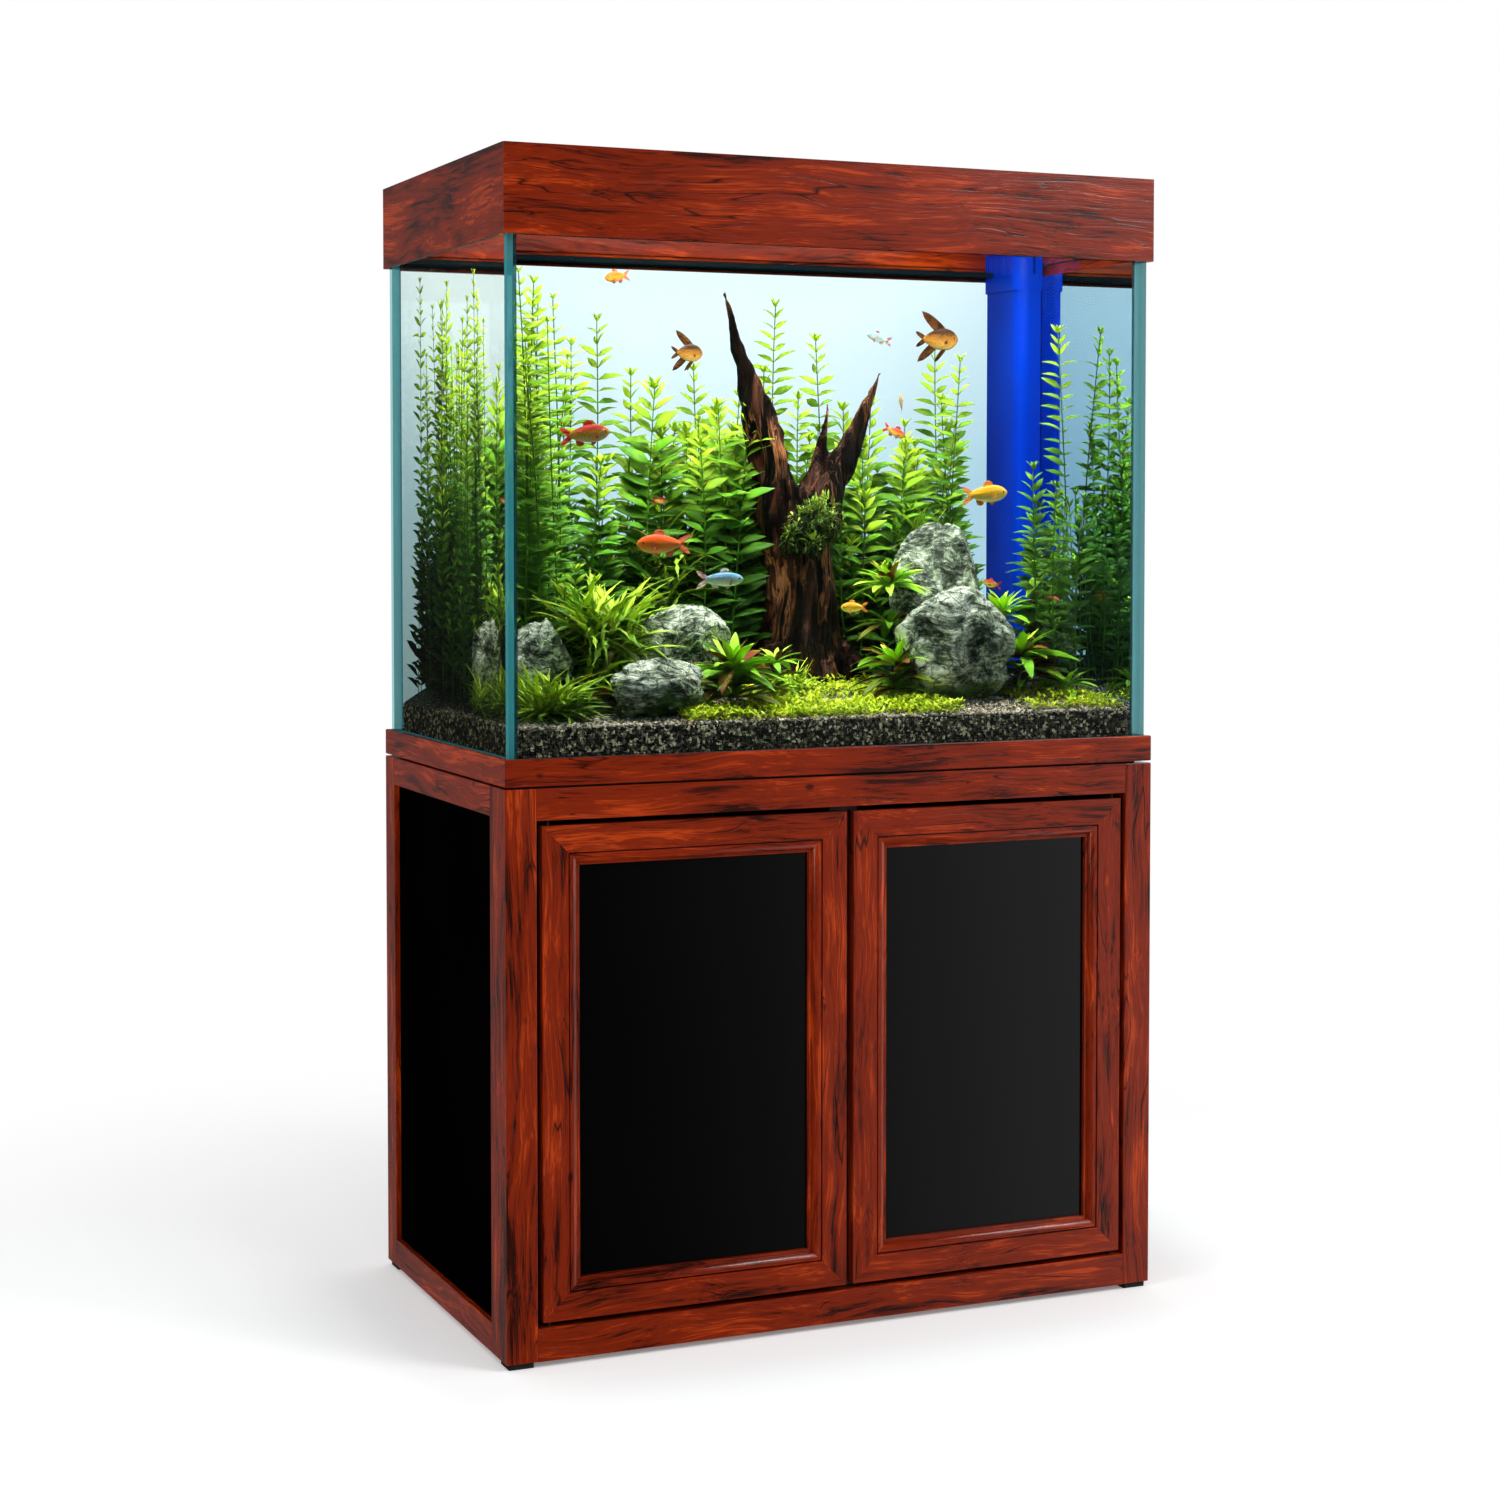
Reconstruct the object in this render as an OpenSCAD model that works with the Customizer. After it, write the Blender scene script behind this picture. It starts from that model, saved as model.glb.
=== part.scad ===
// Aquarium on a wooden stand: framed cabinet with two doors, glass tank with an
// overflow tower and a sump below, and a lift-off wooden hood with a feeding lid.
// Millimetres. +Z is up, the front faces -Y, and the origin is on the floor
// under the middle of the stand.

/* [Overall] */
// Outside width of the stand, the plinth and the hood
overall_w = 1000; // [940:1:1400]
// Outside depth of the stand, the plinth and the hood
overall_d = 570; // [550:1:700]
// Height of the stand's wooden frame, above its foot pads
frame_h = 772; // [700:1:900]
// Height of the glass panes
glass_h = 728; // [700:1:800]
// Height of the hood's boards
hood_h = 120; // [100:1:200]

/* [Stand frame] */
// Height of the foot pads
foot_h = 8; // [4:1:20]
// Side length of a foot pad
foot_w = 36; // [20:1:42]
// Distance of a foot pad from the outer faces of its post
foot_inset = 4; // [0:1:6]
// Width of the corner posts, seen from the front
post_w = 44; // [40:1:80]
// Depth of the front posts
front_post_d = 66; // [46:1:90]
// Depth of the rear posts
rear_post_d = 46; // [42:1:52]
// Thickness of the rails
rail_t = 20; // [18:1:30]
// Height of the top rails at the front and the rear
long_top_rail_h = 43; // [30:1:70]
// Height of the bottom rails at the front and the rear
long_bottom_rail_h = 45; // [35:1:70]
// Height of the rails at the sides
side_rail_h = 41; // [30:1:70]
// Thickness of the side panels and the back panel
panel_t = 6; // [3:1:8]
// Depth of the side panels and the back panel behind the outer faces
panel_recess = 8; // [4:1:10]
// Thickness of the cabinet's floor board
floor_t = 16; // [12:1:25]
// Width of the post behind the gap between the doors
centre_post_w = 44; // [40:1:50]
// Depth of the post behind the gap between the doors
centre_post_d = 40; // [20:1:80]
// Radius of the cable ports in the back panel
port_r = 35; // [20:1:45]
// Distance of each cable port from the middle
port_x = 300; // [200:1:350]
// Distance of the cable ports below the top of the frame
port_drop = 165; // [100:1:200]

/* [Plinth] */
// Thickness of the board that carries the tank
top_board_t = 22; // [18:1:40]
// Thickness of the plinth trims and of the hood's boards
trim_t = 18; // [15:1:24]
// Shadow groove between the stand frame and the plinth trims
groove_h = 3; // [1:1:6]
// Thickness of the foam mat under the tank
mat_t = 5; // [3:1:10]
// Height of the plinth's lip above the bottom pane
lip_over = 1; // [0:0.5:6]

/* [Tank] */
// Distance of the glass from the outer faces of plinth and hood
glass_inset = 8; // [6:1:12]
// Thickness of the glass
glass_t = 12; // [8:1:15]
// Clearance between the glass and the wooden lips around it
glass_clearance = 0.5; // [0.2:0.1:2]
// Side of the silicone seams in the corners
seam = 5; // [3:1:8]
// Width of the glass braces under the rim
brace_w = 40; // [30:1:50]
// Thickness of the glass braces
brace_t = 8; // [6:1:12]
// Distance of the braces below the glass rim
brace_drop = 8; // [2:1:8]
// Thickness of the film behind the rear pane
film_t = 0.5; // [0.3:0.1:2]

/* [Overflow] */
// Width of the overflow tower
tower_w = 41; // [41:1:60]
// Depth of the overflow tower
tower_d = 141; // [135:1:160]
// Radius of the tower's rounded corner
tower_r = 20; // [10:1:30]
// Wall of the overflow tower
tower_wall = 4; // [3:0.5:4]
// Height of the tower's top edge under the glass rim
tower_drop = 20; // [18:1:60]
// Wall of the slotted sleeve around the tower's top
sleeve_wall = 3; // [2:0.5:5]
// Height of the slotted sleeve
sleeve_h = 61; // [50:1:62]
// How far the sleeve reaches down over the tower
sleeve_lap = 20; // [10:1:22]
// Width of the sleeve's slots
slot_w = 4; // [2:0.5:5]
// Distance between the sleeve's slots
slot_pitch = 10; // [8:1:20]

/* [Plumbing] */
// Outer radius of the pipes
pipe_r = 10; // [8:0.5:11]
// Wall of the pipes
pipe_wall = 2; // [1.5:0.5:3]
// Radius of the bulkhead fittings' flanges
flange_r = 16; // [15:0.5:17]
// Thickness of the bulkhead fittings' flanges and nuts
flange_t = 5; // [4:1:8]
// Radius of the holes in the glass for the bulkhead fittings
glass_hole_r = 14; // [13:0.5:14.5]
// Distance of the drain from the rear pane
drain_back = 60; // [55:1:65]
// Distance of the return pipe from the rear pane
return_back = 112; // [108:1:116]
// Height of the return pipe's arm above the glass rim
return_over = 47; // [44:1:50]
// Reach of the return pipe's arm from the drain line
return_reach = 64; // [60:1:90]
// Outer radius of the swivelling return nozzle
nozzle_r = 14; // [13:0.5:16]
// Length of the return nozzle's spout below its axis
spout_l = 30; // [20:1:34]
// Distance of the drain valve below the top of the frame
valve_drop = 160; // [140:1:200]
// Length of the drain valve's lever
lever_l = 70; // [50:1:90]
// Radial clearance of everything that turns on a pin or a pipe
running = 0.05; // [0.02:0.01:0.1]

/* [Sump] */
// Width of the sump tank
sump_w = 600; // [520:1:640]
// Depth of the sump tank
sump_d = 360; // [300:1:400]
// Height of the sump tank
sump_h = 380; // [300:1:420]
// Thickness of the sump's glass
sump_t = 6; // [4:1:8]
// Distance of the sump from the side panel
sump_side_gap = 8; // [4:1:12]
// Height of the sump's baffles
baffle_h = 250; // [150:1:290]
// Width of the chamber under the drain
inlet_w = 170; // [120:1:180]
// Width of the return pump's chamber
pump_chamber_w = 190; // [160:1:200]
// Thickness of the filter sponges
sponge_t = 45; // [30:1:50]

/* [Doors] */
// Thickness of the doors
door_t = 20; // [18:1:24]
// Gap between a door and its post
door_gap_side = 8; // [6:0.5:10]
// Gap between the doors and the rails above and below
door_gap_level = 7.5; // [4:0.5:10]
// Gap between the two doors
door_gap_mid = 11; // [6:0.5:14]
// Place of the gap between the doors, to the right of the middle
door_split_x = 8; // [-20:1:20]
// Width of the flat face of the door frames
flat_w = 37; // [30:1:60]
// Width of the moulding inside the door frames
mould_w = 18; // [16:1:30]
// Width of the groove between flat face and moulding
mould_groove = 2; // [1:0.5:3]
// Radius of the moulding's rounded edge
mould_r = 7; // [5:0.5:8]
// Thickness of the door panels
door_panel_t = 4; // [3:0.5:5]
// Depth of the door panels' seat in the frames
panel_seat = 8; // [5:1:10]
// Radius of the door pivot pins
pin_r = 3; // [2:0.5:4]
// Distance of the door pivots from the hinge edges
pivot_in = 10; // [8:0.5:12]
// Length of the pivot pins inside door and rail, each
pin_seat = 12; // [8:1:20]
// Distance of the push latches below the top of the doors' opening
latch_drop = 87; // [60:1:380]
// Radius of the latch plungers
plunger_r = 5; // [3:0.5:6]
// Thickness of the steel strike plates on the doors
strike_t = 1; // [0.5:0.5:2]

/* [Hood] */
// How far the hood reaches down over the glass rim
hood_lap = 20; // [10:1:30]
// Thickness of the hood's top boards
hood_top_t = 12; // [9:1:15]
// Depth of the hood's top boards below the upper edge
hood_top_drop = 8; // [8:1:12]
// Depth of the feeding lid
lid_d = 245; // [200:1:250]
// Gap around the feeding lid
lid_gap = 1; // [0.5:0.5:3]
// Width of the finger notch in the lid
notch_w = 90; // [50:1:120]
// Depth of the finger notch in the lid
notch_d = 22; // [15:1:40]
// Distance of the lid's hinges from the middle
hinge_x = 300; // [100:1:350]
// Width of a hinge
hinge_w = 60; // [40:1:90]
// Radius of a hinge's knuckles
knuckle_r = 4; // [3.5:0.5:4]
// Radius of the hinge pins
hinge_pin_r = 1.5; // [1:0.5:2]
// Length of the light bar
light_w = 760; // [500:1:780]
// Depth of the light bar
light_d = 110; // [80:1:130]
// Height of the light bar
light_h = 26; // [20:1:40]

/* [Aquascape] */
// Height of the gravel at the front pane
gravel_front = 39; // [20:1:60]
// Height of the gravel at the rear pane
gravel_rear = 101; // [60:1:140]
// Thickness of the planted carpet on the gravel
carpet_t = 12; // [8:1:20]

/* [Hidden] */
$fn = 48;
eps = 0.01;

half_w = overall_w / 2;
front_y = -overall_d / 2;
rear_y = overall_d / 2;

frame_top = foot_h + frame_h;
cabinet_z = foot_h + long_bottom_rail_h;
opening_top = frame_top - long_top_rail_h;
inner_x = half_w - post_w;
panel_x = half_w - panel_recess - panel_t;

board_top = frame_top + top_board_t;
glass_z = board_top + mat_t;
tank_floor = glass_z + glass_t;
plinth_top = tank_floor + lip_over;
glass_top = glass_z + glass_h;
glass_x = half_w - glass_inset;
glass_y = rear_y - glass_inset;
water_x = glass_x - glass_t;
water_y = glass_y - glass_t;
lip_t = glass_inset - glass_clearance;

hood_z = glass_top - hood_lap;
hood_top = hood_z + hood_h;
lid_top = hood_top - hood_top_drop;
lid_z = lid_top - hood_top_t;

brace_top = glass_top - brace_drop;
brace_z = brace_top - brace_t;
brace_gap = 2;

tower_x = water_x - tower_w;
tower_y = water_y - tower_d;
tower_top = glass_top - tower_drop;
sleeve_z = tower_top - sleeve_lap;
standpipe_drop = 75;
riser_x = (tower_x + tower_wall + water_x) / 2;
drain_y = water_y - drain_back;
return_y = water_y - return_back;
return_z = glass_top + return_over;
arm_end = riser_x - return_reach;
nozzle_grip = 20;
nozzle_cap = 13;
thread_tail = 15;
bulkhead_z = frame_top - thread_tail;
thread_r = glass_hole_r - 1;
nut_hole_r = flange_r + 6;
pipe_dip = 20;
pipe_joint_gap = 2;
drain_end_z = cabinet_z + 120;

valve_r = 20;
valve_h = 60;
valve_grip = 12;
stem_r = 6;
stem_boss = 5;
stem_l = 22;
hub_r = 10;
lever_t = 8;
lever_mid_z = frame_top - valve_drop;
valve_bend_gap = 80;
pipe_bend_z = lever_mid_z + valve_bend_gap;

sump_x1 = panel_x - sump_side_gap;
sump_x0 = sump_x1 - sump_w;
sump_rear_gap = 7;
sump_y1 = rear_y - rear_post_d - sump_rear_gap;
sump_y0 = sump_y1 - sump_d;
inlet_x = sump_x1 - inlet_w;
pump_chamber_x = sump_x0 + pump_chamber_w;
pump_x = sump_x0 + pump_chamber_w / 2;
pump_y = return_y;
pump_h = 95;
pump_outlet_h = 25;
sponge_gap = 1;

member_w = flat_w + mould_w;
mould_front = door_t - 1;
lip_front = mould_front - mould_r;
mould_lip_w = 4;
lip_depth = 6;
panel_front = lip_front - lip_depth;
door_z = cabinet_z + door_gap_level;
door_h = opening_top - door_gap_level - door_z;
left_door_x = -inner_x + door_gap_side;
right_door_x = inner_x - door_gap_side;
left_door_w = door_split_x - door_gap_mid / 2 - left_door_x;
right_door_w = right_door_x - door_split_x - door_gap_mid / 2;
door_back_y = front_y + door_t;

centre_post_gap = 3;
centre_post_y = door_back_y + centre_post_gap;
latch_w = 20;
latch_d = 60;
latch_h = 20;
latch_gap = 5;
latch_x = centre_post_w / 2 + latch_w / 2;
latch_z = opening_top - latch_drop;
plunger_l = 35;
plunger_gap = 0.3;
strike_r = 9;

lid_y = -glass_y + glass_clearance + lid_gap;
seam_y = lid_y + lid_d;
hinge_y = seam_y + lid_gap;
hinge_axis_z = lid_top + knuckle_r;
leaf_t = 1.5;
leaf_d = 24;
knuckle_gap = 0.3;
knuckle_w = hinge_w / 3;
light_setback = 32;
light_y = seam_y + light_setback;
light_wall = 2;
diffuser_t = 3;
seat_x = glass_x + glass_clearance;
seat_y = glass_y + glass_clearance;

// Height of the gravel's surface at a distance y from the middle of the tank
gravel_slope = (gravel_rear - gravel_front) / (2 * water_y);
function gravel_z(y) = tank_floor + gravel_front + (y + water_y) * gravel_slope;

// The aquascape's unit of length, near 100 at these sizes: it follows the tank's tightest side
scape = min(water_x / 4.8, water_y / 2.65, (glass_top - tank_floor) / 7.16);
// Point on the gravel, its place given in parts of the tank's half sizes
function scape_point(place) =
  [place.x * water_x, place.y * water_y, gravel_z(place.y * water_y)];

// ---- Helpers ----

// A box from its lowest corner to its highest corner
module span(low, high) {
  translate(low) cube(high - low);
}

// The same child on the left and on the right
module both_sides() {
  children();
  mirror([1, 0, 0]) children();
}

// The same child at the front and at the rear
module front_and_rear() {
  children();
  mirror([0, 1, 0]) children();
}

// Wedge that cuts both ends of a front or rear board to the 45 degree mitre
module long_mitre(reach) {
  linear_extrude(hood_top)
    polygon([[-half_w, front_y], [half_w, front_y],
             [half_w - reach, front_y + reach], [-half_w + reach, front_y + reach]]);
}

// Wedge that cuts both ends of a side board to the 45 degree mitre
module side_mitre(reach) {
  linear_extrude(hood_top)
    polygon([[-half_w, front_y], [-half_w + reach, front_y + reach],
             [-half_w + reach, rear_y - reach], [-half_w, rear_y]]);
}

// Pipe along Z from one height to another
module pipe(z0, z1) {
  translate([0, 0, z0]) difference() {
    cylinder(h = z1 - z0, r = pipe_r);
    translate([0, 0, -1]) cylinder(h = z1 - z0 + 2, r = pipe_r - pipe_wall);
  }
}

// Solid rod with round elbows: up, across to a distance, and on as asked
module bent_rod(r, z0, bend_z, dx, dy, up) {
  translate([0, 0, z0]) cylinder(h = bend_z - z0, r = r);
  translate([0, 0, bend_z]) sphere(r = r);
  translate([0, 0, bend_z]) rotate([0, 90, atan2(dy, dx)])
    cylinder(h = norm([dx, dy]), r = r);
  if (up > 0) {
    translate([dx, dy, bend_z]) sphere(r = r);
    translate([dx, dy, bend_z]) cylinder(h = up, r = r);
  }
}

// ---- Stand frame ----

module foot_pads() {
  pad = [foot_w, foot_w, foot_h];
  color("#151515") both_sides() front_and_rear()
    translate([-half_w + foot_inset, front_y + foot_inset, 0]) cube(pad);
}

module front_posts() {
  color("#74200a") both_sides()
    span([-half_w, front_y, foot_h], [-inner_x, front_y + front_post_d, frame_top]);
}

module rear_posts() {
  color("#74200a") both_sides()
    span([-half_w, rear_y - rear_post_d, foot_h], [-inner_x, rear_y, frame_top]);
}

// Pivot bores of both doors, from a height upwards
module pivot_bores(z) {
  for (x = [left_door_x + pivot_in, right_door_x - pivot_in])
    translate([x, front_y + door_t / 2, z])
      cylinder(h = pin_seat + 1, r = pin_r + running);
}

module top_rails_long() {
  color("#6d2f22") {
    difference() {
      span([-inner_x, front_y, opening_top], [inner_x, front_y + rail_t, frame_top]);
      pivot_bores(opening_top - eps);
    }
    span([-inner_x, rear_y - rail_t, opening_top], [inner_x, rear_y, frame_top]);
  }
}

module bottom_rails_long() {
  color("#6d2f22") {
    difference() {
      span([-inner_x, front_y, foot_h], [inner_x, front_y + rail_t, cabinet_z]);
      pivot_bores(cabinet_z - pin_seat - 1 + eps);
    }
    span([-inner_x, rear_y - rail_t, foot_h], [inner_x, rear_y, cabinet_z]);
  }
}

module side_rail(z) {
  both_sides()
    span([-half_w, front_y + front_post_d, z],
         [-half_w + rail_t, rear_y - rear_post_d, z + side_rail_h]);
}

module top_rails_side() {
  color("#733827") side_rail(frame_top - side_rail_h);
}

module bottom_rails_side() {
  color("#733827") side_rail(foot_h);
}

module side_panels() {
  color("#050505") both_sides()
    span([-panel_x - panel_t, front_y + front_post_d, foot_h + side_rail_h],
         [-panel_x, rear_y - rear_post_d, frame_top - side_rail_h]);
}

module back_panel() {
  back_y = rear_y - panel_recess;
  color("#050505") difference() {
    span([-inner_x, back_y - panel_t, cabinet_z], [inner_x, back_y, opening_top]);
    for (x = [-port_x, port_x])
      translate([x, back_y + 1, frame_top - port_drop]) rotate([90, 0, 0])
        cylinder(h = panel_t + 2, r = port_r);
  }
}

module cabinet_floor() {
  floor_y = rear_y - rail_t;
  color("#151210") difference() {
    span([-half_w + rail_t, -floor_y, cabinet_z - floor_t],
         [half_w - rail_t, floor_y, cabinet_z]);
    front_posts();
    rear_posts();
  }
}

module centre_post() {
  color("#0c0a09")
    span([door_split_x - centre_post_w / 2, centre_post_y, cabinet_z],
         [door_split_x + centre_post_w / 2, centre_post_y + centre_post_d, frame_top]);
}

// ---- Plinth ----

// Holes for the nuts of the two bulkhead fittings
module nut_holes() {
  for (y = [drain_y, return_y])
    translate([riser_x, y, frame_top - 1]) cylinder(h = top_board_t + mat_t + 2, r = nut_hole_r);
}

module top_board() {
  board_x = half_w - trim_t;
  board_y = rear_y - trim_t;
  color("#2a1a14") difference() {
    span([-board_x, -board_y, frame_top], [board_x, board_y, board_top]);
    nut_holes();
  }
}

// Straight trim along X: full thickness beside the board, a thin lip beside the glass
module long_trim_bar() {
  span([-half_w, front_y, frame_top + groove_h], [half_w, front_y + trim_t, board_top]);
  span([-half_w, front_y, board_top], [half_w, front_y + lip_t, plinth_top]);
}

module side_trim_bar() {
  span([-half_w, front_y, frame_top + groove_h], [-half_w + trim_t, rear_y, board_top]);
  span([-half_w, front_y, board_top], [-half_w + lip_t, rear_y, plinth_top]);
}

module plinth_trims_long() {
  color("#6f3023") front_and_rear() intersection() {
    long_trim_bar();
    long_mitre(trim_t);
  }
}

module plinth_trims_side() {
  color("#733827") both_sides() intersection() {
    side_trim_bar();
    side_mitre(trim_t);
  }
}

module tank_mat() {
  color("#101010") difference() {
    span([-glass_x, -glass_y, board_top], [glass_x, glass_y, glass_z]);
    nut_holes();
  }
}

// ---- Tank ----

module front_glass() {
  color("#9fd8d4", 0.35) span([-glass_x, -glass_y, glass_z], [glass_x, -water_y, glass_top]);
}

module rear_glass() {
  color("#9fd8d4", 0.35) span([-glass_x, water_y, glass_z], [glass_x, glass_y, glass_top]);
}

module left_glass() {
  color("#9fd8d4", 0.35) span([-glass_x, -water_y, glass_z], [-water_x, water_y, glass_top]);
}

module right_glass() {
  color("#9fd8d4", 0.35) span([water_x, -water_y, glass_z], [glass_x, water_y, glass_top]);
}

module bottom_glass() {
  color("#9fd8d4", 0.35) difference() {
    span([-water_x, -water_y, glass_z], [water_x, water_y, tank_floor]);
    for (y = [drain_y, return_y])
      translate([riser_x, y, glass_z - 1]) cylinder(h = glass_t + 2, r = glass_hole_r);
  }
}

module silicone_seams() {
  color("#2b3a3c") both_sides() front_and_rear()
    translate([-water_x, -water_y, tank_floor])
      linear_extrude(brace_z - tank_floor) polygon([[0, 0], [seam, 0], [0, seam]]);
}

module rim_braces() {
  rear_end = tower_x - sleeve_wall - brace_gap;
  color("#9fd8d4", 0.35) {
    span([-water_x, -water_y, brace_z], [water_x, -water_y + brace_w, brace_top]);
    span([-water_x, water_y - brace_w, brace_z], [rear_end, water_y, brace_top]);
  }
}

module backdrop_film() {
  color("#dff1fa")
    span([-water_x, glass_y, plinth_top + 1], [water_x, glass_y + film_t, hood_z - 1]);
}

// ---- Overflow and plumbing ----

// Plan of the tower, drawn in by an amount: square to the panes, one round corner
module tower_plan(inset) {
  r = tower_r - inset;
  x0 = tower_x + inset;
  y0 = tower_y + inset;
  translate([x0 + r, y0]) square([water_x - x0 - r, water_y - y0]);
  translate([x0, y0 + r]) square([water_x - x0, water_y - y0 - r]);
  translate([x0 + r, y0 + r]) intersection() {
    circle(r = r);
    translate([-r, -r]) square(r);
  }
}

module overflow_tower() {
  color("#0035b7") translate([0, 0, tank_floor]) linear_extrude(tower_top - tank_floor)
    difference() {
      tower_plan(0);
      tower_plan(tower_wall);
    }
}

module overflow_sleeve() {
  slots_z = tower_top + 5;
  slots_h = sleeve_h - sleeve_lap - 12;
  color("#0a2f9c") difference() {
    translate([0, 0, sleeve_z]) linear_extrude(sleeve_h) tower_plan(-sleeve_wall);
    translate([0, 0, sleeve_z - 1]) linear_extrude(sleeve_lap + 1) tower_plan(-0.1);
    translate([0, 0, tower_top - 1]) linear_extrude(sleeve_h) tower_plan(tower_wall);
    for (y = [tower_y + tower_r + slot_pitch : slot_pitch : water_y - slot_pitch])
      translate([tower_x - 2 * sleeve_wall, y, slots_z])
        cube([4 * sleeve_wall + tower_wall, slot_w, slots_h]);
    for (x = [tower_x + tower_r + slot_pitch / 2 : slot_pitch : water_x - slot_pitch])
      translate([x, tower_y - 2 * sleeve_wall, slots_z])
        cube([slot_w, 4 * sleeve_wall + tower_wall, slots_h]);
  }
}

module bulkhead(y) {
  translate([riser_x, y, 0]) {
    difference() {
      union() {
        translate([0, 0, tank_floor]) cylinder(h = flange_t, r = flange_r);
        translate([0, 0, bulkhead_z]) cylinder(h = tank_floor - bulkhead_z, r = thread_r);
      }
      translate([0, 0, bulkhead_z - 1])
        cylinder(h = tank_floor + flange_t - bulkhead_z + 2, r = pipe_r);
    }
    difference() {
      translate([0, 0, glass_z - flange_t]) cylinder(h = flange_t, r = flange_r + 2, $fn = 6);
      translate([0, 0, glass_z - flange_t - 1]) cylinder(h = flange_t + 2, r = thread_r + running);
    }
  }
}

module bulkheads() {
  color("#303236") {
    bulkhead(drain_y);
    bulkhead(return_y);
  }
}

module drain_standpipe() {
  pipe_top = tower_top - standpipe_drop;
  color("#3a3d42") translate([riser_x, drain_y, 0]) difference() {
    pipe(tank_floor - pipe_dip, pipe_top);
    for (turn = [0, 60, 120])
      rotate([0, 0, turn]) translate([-2 * pipe_r, -2, pipe_top - 14])
        cube([4 * pipe_r, 4, 20]);
  }
}

module return_riser() {
  color("#3a3d42") translate([riser_x, return_y, 0]) difference() {
    bent_rod(pipe_r, tank_floor - pipe_dip, return_z, -return_reach, 0, 0);
    translate([0, 0, -1])
      bent_rod(pipe_r - pipe_wall, tank_floor - pipe_dip, return_z + 1, -return_reach - 1, 0, 0);
  }
}

module return_nozzle() {
  body_l = nozzle_grip + nozzle_cap;
  color("#22252a") translate([arm_end - nozzle_cap, return_y, return_z]) difference() {
    union() {
      rotate([0, 90, 0]) cylinder(h = body_l, r = nozzle_r);
      translate([nozzle_cap, 0, -spout_l]) cylinder(h = spout_l, r = nozzle_cap - 2);
    }
    translate([nozzle_cap - 2, 0, 0]) rotate([0, 90, 0])
      cylinder(h = body_l, r = pipe_r + running);
    translate([nozzle_cap, 0, -spout_l - 1]) cylinder(h = spout_l, r = nozzle_cap - 5);
  }
}

module drain_pipes() {
  upper_z = lever_mid_z + valve_grip;
  lower_z = lever_mid_z - valve_grip;
  color("#3a3d42") translate([riser_x, drain_y, 0]) {
    pipe(upper_z, tank_floor - pipe_dip - pipe_joint_gap);
    pipe(drain_end_z, lower_z);
  }
}

module supply_pipe() {
  start_z = cabinet_z + sump_t + pump_h;
  across = riser_x - pump_x;
  rise = tank_floor - pipe_dip - pipe_joint_gap - pipe_bend_z;
  color("#3a3d42") translate([pump_x, pump_y, 0]) difference() {
    bent_rod(pipe_r, start_z, pipe_bend_z, across, return_y - pump_y, rise);
    translate([0, 0, -1]) cylinder(h = start_z + 2, r = pipe_r - pipe_wall);
    bent_rod(pipe_r - pipe_wall, start_z - 1, pipe_bend_z, across, return_y - pump_y, rise + 1);
  }
}

module valve_body() {
  color("#24272b") translate([riser_x, drain_y, lever_mid_z]) {
    difference() {
      union() {
        translate([0, 0, -valve_h / 2]) cylinder(h = valve_h, r = pipe_r + 5);
        sphere(r = valve_r);
        rotate([90, 0, 0]) cylinder(h = valve_r + stem_boss - 1, r = hub_r + 1);
        rotate([90, 0, 0]) cylinder(h = valve_r + stem_l, r = stem_r);
      }
      translate([0, 0, -valve_h]) cylinder(h = 2 * valve_h, r = pipe_r);
    }
  }
}

module valve_lever() {
  hub_y = drain_y - valve_r - stem_boss;
  color("#a02018") translate([riser_x, hub_y, lever_mid_z]) difference() {
    union() {
      rotate([90, 0, 0]) cylinder(h = lever_t, r = hub_r);
      translate([-hub_r + 2, -lever_t, -lever_l]) cube([2 * hub_r - 4, lever_t, lever_l]);
    }
    translate([0, 1, 0]) rotate([90, 0, 0]) cylinder(h = lever_t + 2, r = stem_r + running);
  }
}

// ---- Sump ----

module sump_tank() {
  low = [sump_x0, sump_y0, cabinet_z];
  high = [sump_x1, sump_y1, cabinet_z + sump_h];
  wall = [sump_t, sump_t, sump_t];
  color("#9fd8d4", 0.35) difference() {
    span(low, high);
    span(low + wall, [sump_x1 - sump_t, sump_y1 - sump_t, cabinet_z + sump_h + 1]);
  }
}

module sump_baffles() {
  color("#9fd8d4", 0.35) for (x = [pump_chamber_x, inlet_x])
    span([x, sump_y0 + sump_t, cabinet_z + sump_t],
         [x + sump_t, sump_y1 - sump_t, cabinet_z + sump_t + baffle_h]);
}

module filter_sponges() {
  room = inlet_x - pump_chamber_x - sump_t;
  first = pump_chamber_x + sump_t + (room - 2 * sponge_t) / 3;
  step = sponge_t + (room - 2 * sponge_t) / 3;
  color("#20262c") for (i = [0, 1])
    span([first + i * step, sump_y0 + sump_t + sponge_gap, cabinet_z + sump_t],
         [first + i * step + sponge_t, sump_y1 - sump_t - sponge_gap,
          cabinet_z + sump_t + baffle_h - 20]);
}

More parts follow.
